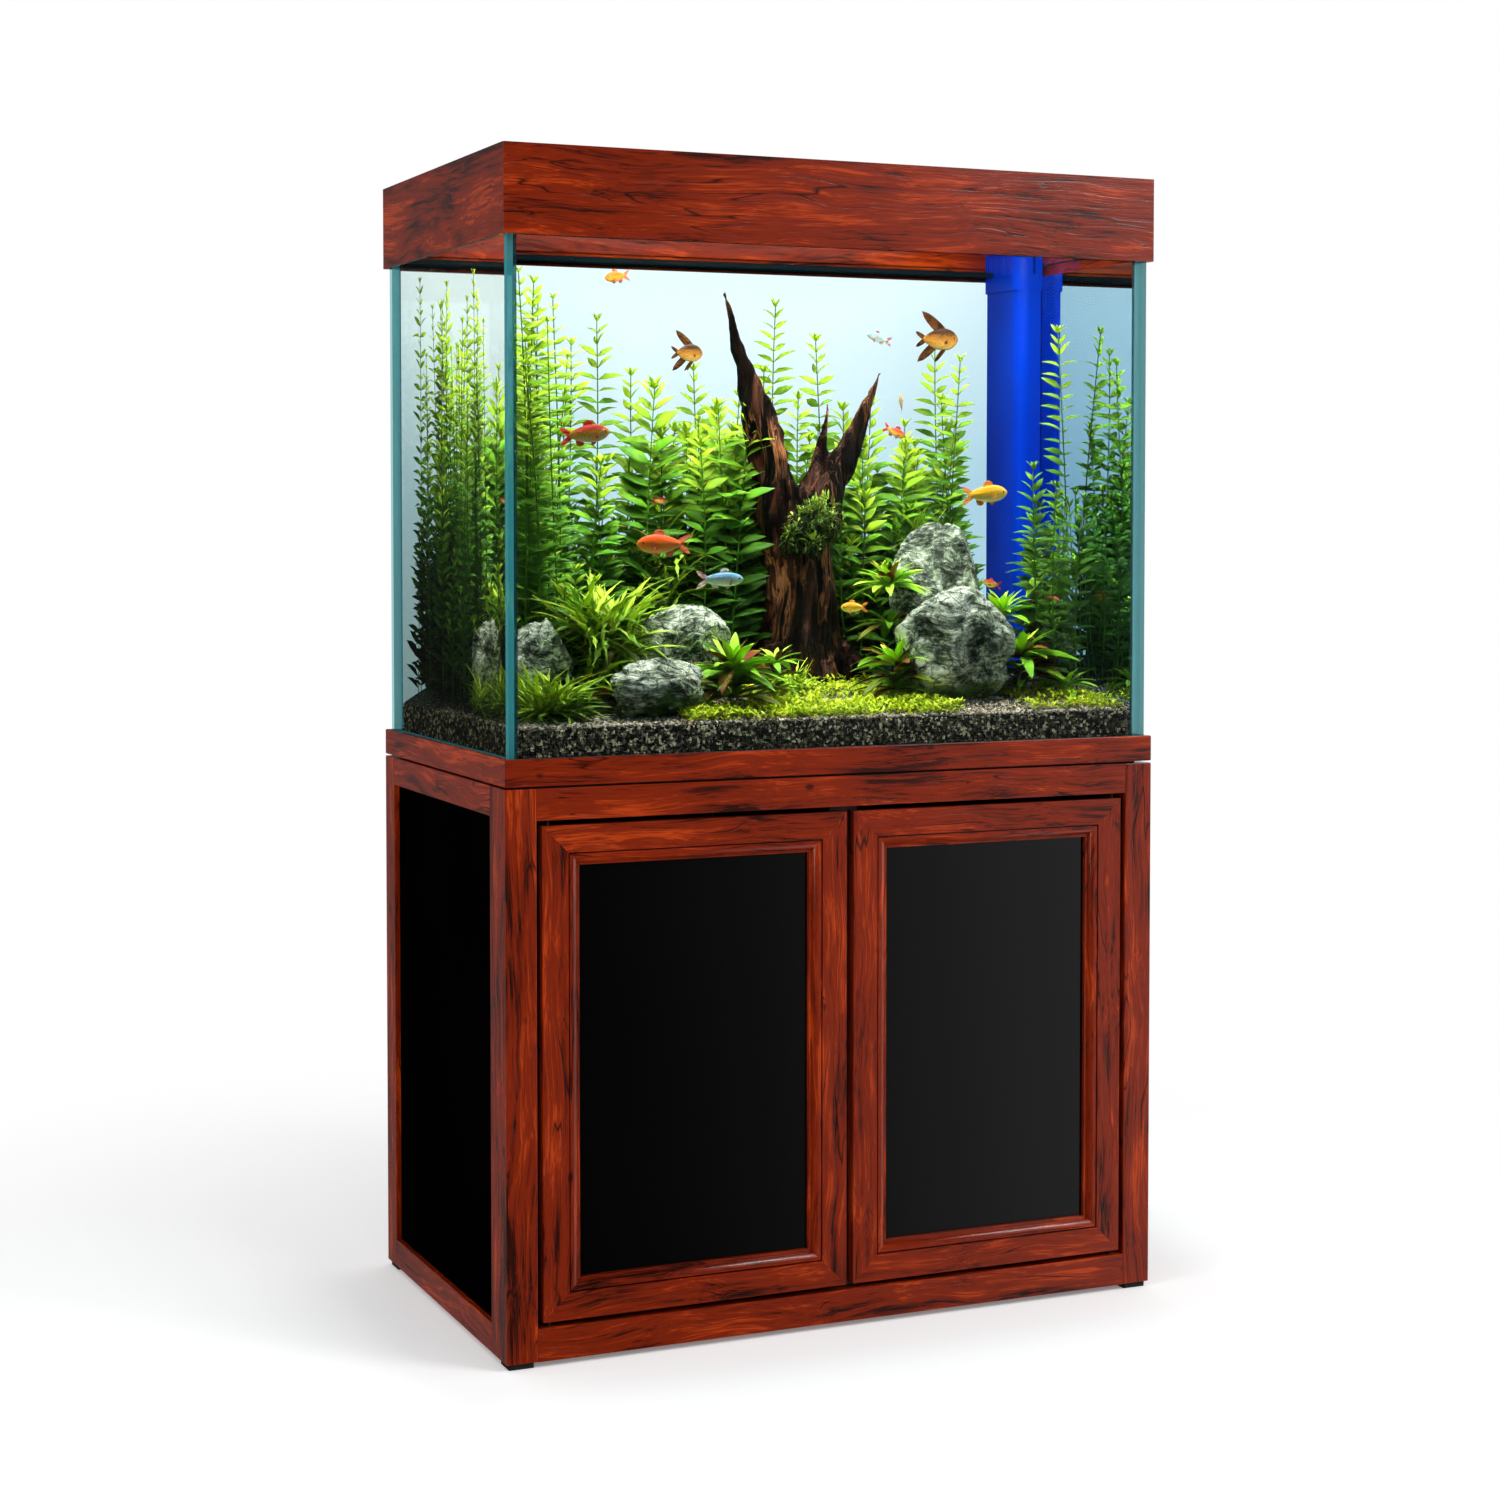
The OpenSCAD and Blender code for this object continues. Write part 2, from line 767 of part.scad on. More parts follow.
module return_pump() {
  body_w = 90;
  body_d = 70;
  foot_gap = 6;
  base = cabinet_z + sump_t;
  color("#1a1c20") translate([pump_x, pump_y, base]) {
    for (side = [-1, 1])
      translate([side * 32, 0, 0]) cylinder(h = foot_gap, r = 8);
    translate([-body_w / 2, -body_d / 2, foot_gap])
      cube([body_w, body_d, pump_h - pump_outlet_h - foot_gap]);
    translate([0, -body_d / 2, pump_h / 2]) rotate([90, 0, 0]) cylinder(h = 18, r = 26);
    translate([0, 0, pump_h - pump_outlet_h]) difference() {
      cylinder(h = pump_outlet_h, r = pipe_r + 3);
      translate([0, 0, 5]) cylinder(h = pump_outlet_h, r = pipe_r - pipe_wall);
    }
  }
}

// ---- Doors ----

// Section of a door frame member: X runs inwards from the outer edge, Y to the front
module member_section() {
  mould_x = flat_w + mould_groove;
  round_x = member_w - mould_r - mould_lip_w;
  difference() {
    union() {
      square([flat_w, door_t]);
      square([member_w, lip_front]);
      translate([mould_x, 0]) square([round_x - mould_x, mould_front]);
      translate([round_x, lip_front]) intersection() {
        circle(r = mould_r);
        square(mould_r);
      }
    }
    translate([member_w - panel_seat, panel_front - door_panel_t])
      square([panel_seat + 1, door_panel_t]);
  }
}

// Mitred member along X with its outer edge on the X axis and its front upwards
module member(length) {
  intersection() {
    rotate([90, 0, 90]) linear_extrude(length) member_section();
    linear_extrude(door_t)
      polygon([[0, 0], [length, 0], [length - member_w, member_w], [member_w, member_w]]);
  }
}

// Pivot pin holes of a door, in the door's own plane
module door_pin_holes(height) {
  for (y = [-1, height - pin_seat])
    translate([pivot_in, y, door_t / 2]) rotate([-90, 0, 0])
      cylinder(h = pin_seat + 1, r = pin_r);
}

module door_rails(width, height) {
  difference() {
    union() {
      member(width);
      translate([0, height, 0]) mirror([0, 1, 0]) member(width);
    }
    door_pin_holes(height);
  }
}

module door_stiles(width, height) {
  difference() {
    union() {
      rotate([0, 0, 90]) mirror([0, 1, 0]) member(height);
      translate([width, 0, 0]) rotate([0, 0, 90]) member(height);
    }
    door_pin_holes(height);
  }
}

module door_panel(width, height) {
  edge = member_w - panel_seat + 0.5;
  translate([edge, edge, panel_front - door_panel_t])
    cube([width - 2 * edge, height - 2 * edge, door_panel_t]);
}

// Pivot pins and the strike plate for the push latch
module door_pins(width, height, strike_x) {
  pin_l = 2 * pin_seat + door_gap_level;
  for (y = [-pin_seat - door_gap_level, height - pin_seat])
    translate([pivot_in, y, door_t / 2]) rotate([-90, 0, 0]) cylinder(h = pin_l, r = pin_r);
  translate([strike_x, latch_z - door_z, -strike_t])
    cylinder(h = strike_t, r = strike_r);
}

// Puts a door that is drawn in its own plane into the left or the right opening
module in_left_opening() {
  translate([left_door_x, door_back_y, door_z]) rotate([90, 0, 0]) children();
}

module in_right_opening() {
  translate([right_door_x, door_back_y, door_z]) mirror([1, 0, 0]) rotate([90, 0, 0]) children();
}

module left_door_stiles() {
  color("#742007") in_left_opening() door_stiles(left_door_w, door_h);
}

module left_door_rails() {
  color("#742007") in_left_opening() door_rails(left_door_w, door_h);
}

module left_door_panel() {
  color("#060606") in_left_opening() door_panel(left_door_w, door_h);
}

module left_door_pins() {
  strike_x = door_split_x - latch_x - left_door_x;
  color("#b9b9b9") in_left_opening() door_pins(left_door_w, door_h, strike_x);
}

module right_door_stiles() {
  color("#742007") in_right_opening() door_stiles(right_door_w, door_h);
}

module right_door_rails() {
  color("#742007") in_right_opening() door_rails(right_door_w, door_h);
}

module right_door_panel() {
  color("#1b1b1b") in_right_opening() door_panel(right_door_w, door_h);
}

module right_door_pins() {
  strike_x = right_door_x - door_split_x - latch_x;
  color("#b9b9b9") in_right_opening() door_pins(right_door_w, door_h, strike_x);
}

module latch_bodies() {
  body_y = door_back_y + strike_t + latch_gap;
  color("#1c1c1c") for (side = [-1, 1])
    difference() {
      translate([door_split_x + side * latch_x - latch_w / 2, body_y,
                 latch_z - latch_h / 2])
        cube([latch_w, latch_d, latch_h]);
      translate([door_split_x + side * latch_x, body_y - 1, latch_z])
        rotate([-90, 0, 0]) cylinder(h = plunger_l + 5, r = plunger_r + running);
    }
}

module latch_plunger(side) {
  tip_y = door_back_y + strike_t + plunger_gap;
  color("#d8d8d8") translate([door_split_x + side * latch_x, tip_y, latch_z])
    rotate([-90, 0, 0]) cylinder(h = plunger_l, r = plunger_r);
}

module left_latch_plunger() {
  latch_plunger(-1);
}

module right_latch_plunger() {
  latch_plunger(1);
}

// ---- Hood ----

// Section of the hood's boards: X runs inwards, Y upwards; rebates hold rim and lid
module hood_section() {
  rebate = trim_t - glass_inset + glass_clearance;
  difference() {
    square([trim_t, hood_h]);
    translate([lip_t, -1]) square([rebate + 1, hood_lap + 1]);
    translate([lip_t, lid_z - hood_z]) square([rebate + 1, hood_h]);
  }
}

module hood_boards_long() {
  color("#963f2b") front_and_rear() intersection() {
    translate([-half_w, front_y, hood_z]) rotate([90, 0, 90])
      linear_extrude(overall_w) hood_section();
    long_mitre(trim_t);
  }
}

module hood_boards_side() {
  color("#724132") both_sides() intersection() {
    translate([-half_w, rear_y, hood_z]) rotate([90, 0, 0])
      linear_extrude(overall_d) hood_section();
    side_mitre(trim_t);
  }
}

module hood_top_board() {
  color("#7a3022")
    span([-seat_x, seam_y + 2 * lid_gap, lid_z], [seat_x, seat_y, lid_top]);
}

module feeding_lid() {
  color("#7a3022") difference() {
    span([-seat_x + lid_gap, lid_y, lid_z], [seat_x - lid_gap, seam_y, lid_top]);
    span([-notch_w / 2, lid_y - 1, lid_z - 1], [notch_w / 2, lid_y + notch_d, lid_top + 1]);
  }
}

// Knuckles along X, centred, with the bore given
module knuckle(length, bore) {
  rotate([0, 90, 0]) difference() {
    cylinder(h = length, r = knuckle_r, center = true);
    cylinder(h = length + 2, r = bore, center = true);
  }
}

module lid_hinges() {
  outer = knuckle_w - knuckle_gap;
  color("#8b8d90") both_sides() translate([hinge_x, hinge_y, hinge_axis_z]) {
    for (side = [-1, 1])
      translate([side * (hinge_w - outer) / 2, 0, 0]) knuckle(outer, hinge_pin_r + running);
    difference() {
      span([-hinge_w / 2, 0, -knuckle_r], [hinge_w / 2, leaf_d, -knuckle_r + leaf_t]);
      cube([knuckle_w, 2 * knuckle_r + 2, 4 * knuckle_r], center = true);
      rotate([0, 90, 0]) cylinder(h = hinge_w + 2, r = hinge_pin_r + running, center = true);
    }
    rotate([0, 90, 0]) cylinder(h = hinge_w, r = hinge_pin_r, center = true);
  }
}

module lid_leaves() {
  inner = knuckle_w - knuckle_gap;
  color("#8b8d90") both_sides() translate([hinge_x, hinge_y, hinge_axis_z]) {
    knuckle(inner, hinge_pin_r + running);
    difference() {
      span([-hinge_w / 2, -leaf_d, -knuckle_r], [hinge_w / 2, 0, -knuckle_r + leaf_t]);
      for (side = [-1, 1])
        translate([side * knuckle_w, 0, 0])
          cube([knuckle_w + knuckle_gap, 2 * knuckle_r + 2, 4 * knuckle_r], center = true);
    }
  }
}

module light_housing() {
  low = [-light_w / 2, light_y, lid_z - light_h];
  high = [light_w / 2, light_y + light_d, lid_z];
  color("#c9ccd0") difference() {
    span(low, high);
    span([low.x + light_wall, low.y + light_wall, low.z - 1],
         [high.x - light_wall, high.y - light_wall, high.z - light_wall]);
  }
}

module light_diffuser() {
  color("#f6fbff")
    span([-light_w / 2 + light_wall, light_y + light_wall, lid_z - light_h],
         [light_w / 2 - light_wall, light_y + light_d - light_wall,
          lid_z - light_h + diffuser_t]);
}

// ---- Aquascape ----

// Everything under the gravel's surface, wider than the tank
module below_gravel() {
  rotate([90, 0, 90]) translate([0, 0, -half_w]) linear_extrude(overall_w)
    polygon([[-water_y, glass_z], [water_y, glass_z],
             [water_y, gravel_z(water_y)], [-water_y, gravel_z(-water_y)]]);
}

module gravel_bed() {
  color("#1e2422") intersection() {
    below_gravel();
    translate([0, 0, tank_floor]) linear_extrude(gravel_rear)
      difference() {
        square([2 * water_x, 2 * water_y], center = true);
        for (x = [-water_x, water_x], y = [-water_y, water_y])
          translate([x, y]) rotate(45) square(seam * sqrt(2), center = true);
        tower_plan(0);
      }
  }
}

// Boulder standing on the gravel: a rounded block, wide at its foot, leaning a
// little. Place in parts of the tank's half sizes, size in scape units.
module boulder(place, size, lean) {
  at = scape_point(place);
  w = size * scape;
  difference() {
    hull() {
      translate(at) scale([w.x / 2, w.y / 2, w.z / 4]) sphere(r = 1, $fn = 14);
      translate(at + [lean * scape, w.y / 8, 0.7 * w.z])
        scale([w.x / 3.4, w.y / 3.4, 0.3 * w.z]) sphere(r = 1, $fn = 12);
    }
    below_gravel();
  }
}

module rocks() {
  color("#7d8b83") {
    boulder([-0.53, -0.7], [1.24, 0.9, 0.76], 0.08);
    boulder([-0.36, -0.13], [1.12, 0.9, 1.18], 0.1);
    boulder([-0.82, -0.23], [0.96, 0.9, 1.2], 0.06);
    boulder([0.5, -0.42], [1.46, 1.05, 1.52], -0.26);
    boulder([0.56, 0.16], [1.22, 1.1, 2.62], -0.16);
  }
}

// Tapered limb of driftwood from one point to another, in scape units from the foot
module limb(a, ra, b, rb) {
  hull() {
    translate(a * scape) sphere(r = ra * scape, $fn = 10);
    translate(b * scape) sphere(r = rb * scape, $fn = 8);
  }
}

module driftwood() {
  crown = [0, 0, 2.5];
  root = [0, 0, 0.6];
  color("#4a2716") difference() {
    translate(scape_point([0.125, 0.38])) {
      limb([0, 0, -0.2], 0.62, crown, 0.4);
      limb(crown + [-0.12, 0, -0.6], 0.44, crown + [-1.28, -0.2, 3.22], 0.07);
      limb(crown + [0.16, 0, -0.4], 0.36, crown + [1.28, -0.15, 2.1], 0.07);
      limb(crown + [0.2, 0.1, 0], 0.26, crown + [0.5, 0.1, 1.6], 0.06);
      limb(root, 0.4, [-1, -0.5, -0.3], 0.12);
      limb(root, 0.4, [1.04, -0.2, -0.28], 0.12);
    }
    below_gravel();
  }
}

// Stem plant: a slim cone from the gravel up to its tip, a drop below the braces
module stem(place, drop) {
  at = scape_point(place);
  root_l = 0.2 * scape;
  difference() {
    translate(at - [0, 0, root_l])
      cylinder(h = brace_z - drop * scape - at.z + root_l,
               r1 = 0.12 * scape, r2 = 0.05 * scape, $fn = 16);
    below_gravel();
  }
}

// Bushy plant: a dome on the gravel
module bush(place, r) {
  difference() {
    translate(scape_point(place)) sphere(r = r * scape);
    below_gravel();
  }
}

// Low carpet plant over the gravel, from the front pane back to a depth
module carpet(x0, x1, depth) {
  front = -water_y;
  back = front + depth * 2 * water_y;
  rotate([90, 0, 90]) translate([0, 0, x0 * water_x]) linear_extrude((x1 - x0) * water_x)
    polygon([[front, gravel_z(front)], [back, gravel_z(back)],
             [back, gravel_z(back) + carpet_t], [front, gravel_z(front) + carpet_t]]);
}

module plants() {
  color("#4f8a1c") {
    for (i = [0 : 4])
      stem([-0.93 + 0.07 * i, 0.23 + 0.18 * (i % 3)], 0.2 + 0.6 * (i % 2));
    for (i = [0 : 4])
      stem([-0.54 + 0.108 * i, 0.77 - 0.08 * (i % 2)], 0.7 + 0.7 * (i % 3));
    for (i = [0 : 3])
      stem([0.35 + 0.1375 * i, 0.86], 1.1 + 0.25 * (i % 2));
    stem([0.835, 0.075], 1.6);
    stem([0.94, 0.265], 1.2);
    bush([-0.594, -0.02], 0.52);
    bush([-0.77, -0.8], 0.38);
    bush([-0.23, -0.45], 0.44);
    bush([0.246, -0.235], 0.4);
    bush([0.823, -0.38], 0.58);
    carpet(-0.125, 0.25, 0.217);
  }
}

foot_pads();
front_posts();
rear_posts();
top_rails_long();
top_rails_side();
bottom_rails_long();
bottom_rails_side();
side_panels();
back_panel();
cabinet_floor();
centre_post();
top_board();
plinth_trims_long();
plinth_trims_side();
tank_mat();
front_glass();
rear_glass();
left_glass();
right_glass();
bottom_glass();
silicone_seams();
rim_braces();
backdrop_film();
overflow_tower();
overflow_sleeve();
drain_standpipe();
return_riser();
return_nozzle();
bulkheads();
drain_pipes();
supply_pipe();
valve_body();
valve_lever();
sump_tank();
sump_baffles();
filter_sponges();
return_pump();
left_door_stiles();
left_door_rails();
left_door_panel();
left_door_pins();
right_door_stiles();
right_door_rails();
right_door_panel();
right_door_pins();
latch_bodies();
left_latch_plunger();
right_latch_plunger();
hood_boards_long();
hood_boards_side();
hood_top_board();
feeding_lid();
lid_hinges();
lid_leaves();
light_housing();
light_diffuser();
gravel_bed();
rocks();
driftwood();
plants();
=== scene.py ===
"""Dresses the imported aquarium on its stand: lacquered redwood, glass, water, plants and fish."""

import math
import random

import bmesh
import bpy
import numpy as np
from mathutils import Euler, Matrix, Vector, noise


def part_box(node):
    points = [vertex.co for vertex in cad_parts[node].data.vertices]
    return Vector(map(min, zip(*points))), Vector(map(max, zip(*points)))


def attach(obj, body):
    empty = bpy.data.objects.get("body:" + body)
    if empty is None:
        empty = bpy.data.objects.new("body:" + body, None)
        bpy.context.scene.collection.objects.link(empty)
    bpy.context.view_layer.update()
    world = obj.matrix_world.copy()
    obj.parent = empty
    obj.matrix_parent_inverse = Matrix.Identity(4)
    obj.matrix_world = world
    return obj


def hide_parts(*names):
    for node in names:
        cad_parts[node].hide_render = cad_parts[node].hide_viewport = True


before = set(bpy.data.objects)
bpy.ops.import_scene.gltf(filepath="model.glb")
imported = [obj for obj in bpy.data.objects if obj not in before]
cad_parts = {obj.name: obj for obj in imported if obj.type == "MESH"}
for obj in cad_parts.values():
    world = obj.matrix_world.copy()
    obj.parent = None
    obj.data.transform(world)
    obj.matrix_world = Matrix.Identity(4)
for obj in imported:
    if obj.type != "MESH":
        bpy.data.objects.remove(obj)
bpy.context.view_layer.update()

bl_info = {
    "name": "Aquarium on stand",
    "version": (1, 0, 0),
    "blender": (4, 5, 0),
    "location": "View3D > Sidebar > Aquarium",
    "description": "Builds the looks of a planted aquarium on its wooden stand",
    "category": "Object",
}

GLASS_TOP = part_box("front_glass")[1].z
GRAVEL_LOW, GRAVEL_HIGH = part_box("gravel_bed")
# Inner half sizes of the tank, and the gravel's height at the front pane
HALF_X = GRAVEL_HIGH.x
HALF_Y = GRAVEL_HIGH.y
GRAVEL_FRONT = min(
    v.co.z
    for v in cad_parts["gravel_bed"].data.vertices
    if v.co.y < GRAVEL_LOW.y + 0.001 and v.co.z > GRAVEL_LOW.z + 0.005
)
GRAVEL_SLOPE = (GRAVEL_HIGH.z - GRAVEL_FRONT) / (2 * HALF_Y)
# Width of the strip along the left pane in which the gravel's slope grows from none to full
LEVEL_STRIP = 0.3
# Points closer than this are one
WELD = 0.00002
# How far leaves and fronds keep from the panes
PANE_GAP = 0.0015
# Nearly a full turn: the span of random headings, in radians
TURN = 6.28
GOLDEN_ANGLE = 2.39996
# How strongly panes and water bend light
GLASS_IOR = 1.45
WATER_IOR = 1.33
# Counts of the single pebbles, carpet sprigs and sprigs of the moss ball
PEBBLES = 6500
CARPET_SPRIGS = 7500
MOSS_SPRIGS = 1300
# The grid on which the driftwood's skin is made anew, and the layer of grains along the panes
SKIN_GRID = 0.0035
GRAIN_LAYER = 0.0045


def welded(name, distance=WELD):
    """A bmesh of a CAD node with its points joined."""
    bm = bmesh.new()
    bm.from_mesh(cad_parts[name].data)
    bmesh.ops.remove_doubles(bm, verts=bm.verts[:], dist=distance)
    return bm


def solids(name):
    """The boxes of a CAD node's separate solids."""
    bm = welded(name, WELD / 2)
    left, boxes = set(bm.verts), []
    while left:
        front = [left.pop()]
        group = list(front)
        while front:
            vert = front.pop()
            near = [other for edge in vert.link_edges if (other := edge.other_vert(vert)) in left]
            left.difference_update(near)
            front += near
            group += near
        points = np.array([v.co for v in group])
        boxes.append((Vector(points.min(axis=0)), Vector(points.max(axis=0))))
    bm.free()
    return sorted(boxes, key=lambda box: tuple(box[0]))


def clamp(value, low, high):
    """The value, held between two limits."""
    return max(low, min(high, value))


def gravel_z(y, x=0.0):
    """Height of the gravel's surface: it rises to the back, but is level along the left pane."""
    level = clamp((x + HALF_X) / LEVEL_STRIP, 0.0, 1.0)
    return GRAVEL_FRONT + (y + HALF_Y) * GRAVEL_SLOPE * (0.05 + 0.95 * level)


# ---- Colours and shader nodes ----


def linear(code):
    """Linear RGBA of an sRGB hex colour; any other colour is returned as it is."""
    if not isinstance(code, str):
        return code
    parts = [int(code[i : i + 2], 16) / 255 for i in (1, 3, 5)]
    return (*[c / 12.92 if c <= 0.04045 else ((c + 0.055) / 1.055) ** 2.4 for c in parts], 1.0)


class Wire:
    """A shader node's output in its owner's tree. Calculating with wires adds Math nodes."""

    def __init__(self, owner, socket):
        self.owner = owner
        self.socket = socket

    def __getitem__(self, output):
        """Another output of the same node."""
        return Wire(self.owner, self.socket.node.outputs[output])

    def math(self, operation, first, second=0.0):
        """The result of a Math node."""
        return add(self, "Math", {0: first, 1: second}, operation=operation)

    def __rsub__(self, other):
        return self.math("SUBTRACT", other, self)

    def __abs__(self):
        return self.math("ABSOLUTE", self)


def calculates(operation):
    """A method that puts a wire and another value through one Math operation."""
    return lambda self, other: self.math(operation, self, other)


# Wires take +, -, *, > and <, and | for the greater of two
SIGNS = {"add": "ADD", "sub": "SUBTRACT", "mul": "MULTIPLY", "or": "MAXIMUM",
         "gt": "GREATER_THAN", "lt": "LESS_THAN"}
for sign, operation in SIGNS.items():
    setattr(Wire, f"__{sign}__", calculates(operation))


def add(near, kind, inputs=(), stops=(), **settings):
    """Adds a node beside a wire or for an owner, sets it, links it and returns its first output."""
    owner = getattr(near, "owner", near)
    tree = owner.node_tree
    node = tree.nodes.new("ShaderNode" + kind)
    for key, value in settings.items():
        setattr(node, key, value)
    for key, value in dict(inputs).items():
        if isinstance(value, Wire):
            tree.links.new(value.socket, node.inputs[key])
        else:
            node.inputs[key].default_value = linear(value)
    if stops:
        ramp = node.color_ramp.elements
        while len(ramp) < len(stops):
            ramp.new(0.5)
        for element, (position, value) in zip(ramp, stops):
            element.position = position
            element.color = (*[value] * 3, 1) if isinstance(value, (int, float)) else linear(value)
    return Wire(owner, node.outputs[0]) if node.outputs else None


def start(name):
    """The Object coordinates of a new node material."""
    mat = bpy.data.materials.new(name)
    mat.use_nodes = True
    mat.node_tree.nodes.clear()
    return add(mat, "TexCoord")["Object"]


def end(shader):
    """Links a shader to its material's output and returns the material."""
    add(shader, "OutputMaterial", {"Surface": shader})
    return shader.owner


def surface(near, shade, rough, height=None, metres=0.0, **extra):
    """A principled shader, with a bump from a height in metres. Extra names use _ for a space."""
    inputs = {"Base Color": shade, "Roughness": rough}
    if height:
        relief = {"Height": height, "Distance": metres, "Strength": 1.0}
        inputs["Normal"] = add(near, "Bump", relief)
    inputs.update({key.replace("_", " "): value for key, value in extra.items()})
    return add(near, "BsdfPrincipled", inputs)


def grain(place, scale, stretch=(1, 1, 1), detail=3.0, rough=0.5, out="Fac"):
    """Noise in a stretched space: scale counts its lumps per metre."""
    spread = add(place, "Mapping", {"Vector": place, "Scale": stretch})
    inputs = {"Vector": spread, "Scale": scale, "Detail": detail, "Roughness": rough}
    return add(place, "TexNoise", inputs)[out]


def bent(place, drift, amount):
    """Coordinates that a coloured noise pushes about."""
    drift = add(place, "VectorMath", {0: drift, "Scale": amount}, operation="SCALE")
    return add(place, "VectorMath", {0: place, 1: drift}, operation="ADD")


def veil(tint, share, body):
    """A see-through finish: a tinted veil with a share of a solid body."""
    clear = add(body, "BsdfTransparent", {0: tint})
    return end(add(body, "MixShader", {0: share, 1: clear, 2: body}))


def plain(name, code, second, rough=0.4, scale=60.0, **extra):
    """A moulded or painted finish: two close shades, a fine unevenness, and its gloss."""
    place = start(name)
    lump = grain(place, scale, detail=4)
    shade = add(place, "ValToRGB", {0: lump}, [(0.3, code), (0.7, second)])
    return end(surface(place, shade, rough, lump, 0.0001, **extra))


# ---- Meshes ----


def dress(material, *names):
    """Gives CAD nodes their material."""
    for name in names:
        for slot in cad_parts[name].material_slots:
            slot.material = material


def ease(width, segments, *names):
    """Rounds the arrises of CAD nodes, so that their joints show as fine lines."""
    for name in names:
        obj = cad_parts[name]
        obj.modifiers.new("weld", "WELD").merge_threshold = WELD
        arris = obj.modifiers.new("arris", "BEVEL")
        arris.width = width
        arris.segments = segments
        arris.limit_method = "ANGLE"
        arris.angle_limit = math.radians(35)
        arris.use_clamp_overlap = True
        arris.harden_normals = True


def mesh_of(name, bm):
    """Turns a bmesh into a mesh."""
    mesh = bpy.data.meshes.new(name)
    bm.to_mesh(mesh)
    bm.free()
    return mesh


def show(name, data):
    """Puts a mesh, a lamp or a camera in the scene."""
    obj = bpy.data.objects.new(name, data)
    bpy.context.scene.collection.objects.link(obj)
    return obj


def settle(name, bm, slot, *materials, body="stand", replaces=(), smooth=True):
    """Makes a finished bmesh a piece that rides on a body."""
    mesh = mesh_of(name, bm)
    for material in materials:
        mesh.materials.append(material)
    mesh.polygons.foreach_set("use_smooth", [smooth] * len(mesh.polygons))
    obj = show(name, mesh)
    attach(obj, body)
    if replaces:
        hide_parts(*replaces)


class Stamp:
    """A small mesh that is pressed many times into a bmesh, moved and toned each time."""

    def __init__(self, bm, index=0):
        for face in bm.faces:
            face.material_index = index
            face.smooth = True
        self.mesh = mesh_of("stamp", bm)
        self.mesh.attributes.new("tone", "FLOAT", "POINT")
        count = len(self.mesh.vertices)
        self.base = np.empty(count * 3, np.float32)
        self.mesh.vertices.foreach_get("co", self.base)
        self.base = self.base.reshape(-1, 3)

    def press(self, bm, matrix, tone=0.5, shape=None):
        points = self.base if shape is None else shape(self.base)
        turn = np.array(matrix.to_3x3())
        points = points @ turn.T + np.array(matrix.translation)
        self.mesh.vertices.foreach_set("co", points.astype(np.float32).ravel())
        tones = np.full(len(points), tone, np.float32)
        self.mesh.attributes["tone"].data.foreach_set("value", tones)
        bm.from_mesh(self.mesh)


def turned(angle, axis):
    """A rotation about one axis."""
    return Matrix.Rotation(angle, 4, axis)


def bearing(turn, rise):
    """The direction of a heading and a rise."""
    flat = math.cos(rise)
    return Vector((math.cos(turn) * flat, math.sin(turn) * flat, math.sin(rise)))


def aim(point, turn, rise, size, roll=0.0):
    """Places a stamp that lies along +X: turned about Z, raised, rolled and sized."""
    spin = turned(turn, "Z") @ turned(-rise, "Y") @ turned(roll, "X")
    return Matrix.Translation(point) @ spin @ Matrix.Diagonal((size, size, size, 1))


def leaf_stamp(width, steps=3, across=2, droop=0.25, fold=0.35, belly=0.75, thick=0.012, teeth=0.0):
    """A leaf of length 1 along +X: widest at belly, folded at its midrib and drooping."""
    bm = bmesh.new()
    bmesh.ops.create_grid(bm, x_segments=steps, y_segments=across, size=0.5)
    for v in bm.verts:
        t, s = v.co.x + 0.5, 2 * v.co.y
        swell = math.sin(math.pi * min(1, t**belly)) ** 0.8 if 0 < t < 1 else 0.0
        half = width / 2 * (0.06 + swell)
        if teeth and round(t * steps) % 2:
            half *= 1 - teeth
        v.co = Vector((t, s * half, -droop * t * t + fold * abs(s) * half))
    bmesh.ops.solidify(bm, geom=bm.faces[:], thickness=thick)
    bmesh.ops.recalc_face_normals(bm, faces=bm.faces[:])
    return Stamp(bm)


# ---- Settings ----


def colour(name, code, text):
    """A colour property for the settings."""
    return bpy.props.FloatVectorProperty(
        name=name, description=text, subtype="COLOR", size=4, min=0, max=1, default=linear(code)
    )


def length(name, metres, text):
    """A length property for the settings."""
    return bpy.props.FloatProperty(
        name=name, description=text, default=metres, min=0.0, unit="LENGTH", precision=4
    )


def number(name, value, text, **limits):
    """A plain number for the settings."""
    return bpy.props.FloatProperty(name=name, description=text, default=value, **limits)


class BoardSettings(bpy.types.PropertyGroup):
    """Sizes and colours of the wooden boards"""

    dark: colour("Dark grain", "#2C0A04", "Colour of the dark grain clouds")
    middle: colour("Wood", "#741E04", "Main colour of the stained redwood")
    light: colour("Light grain", "#AA390B", "Colour of the bright grain streaks")
    arris: length("Arris", 0.0011, "Width of the rounded edges of boards")
    cloud: number("Grain clouds", 4.2, "Dark clouds per metre of board", min=0.5)


class TankSettings(bpy.types.PropertyGroup):
    """Colours of the tank, its water and its backdrop"""

    edge: colour("Glass edge", "#1F6E74", "Teal of the glass edges")
    sky: colour("Backdrop", "#BAD5E2", "Pale blue of the backdrop")
    sky_top: colour("Backdrop top", "#F8FEFF", "Brightest part of the backdrop")
    glow: number("Backdrop glow", 1.08, "How brightly the backdrop shines", min=0)
    tower: colour("Tower", "#002A9C", "Blue of the overflow tower")
    film_gap: length("Water gap", 0.0003, "Gap between the water and the glass")
    water_drop: length("Water level", 0.0185, "Water surface below the glass rim")


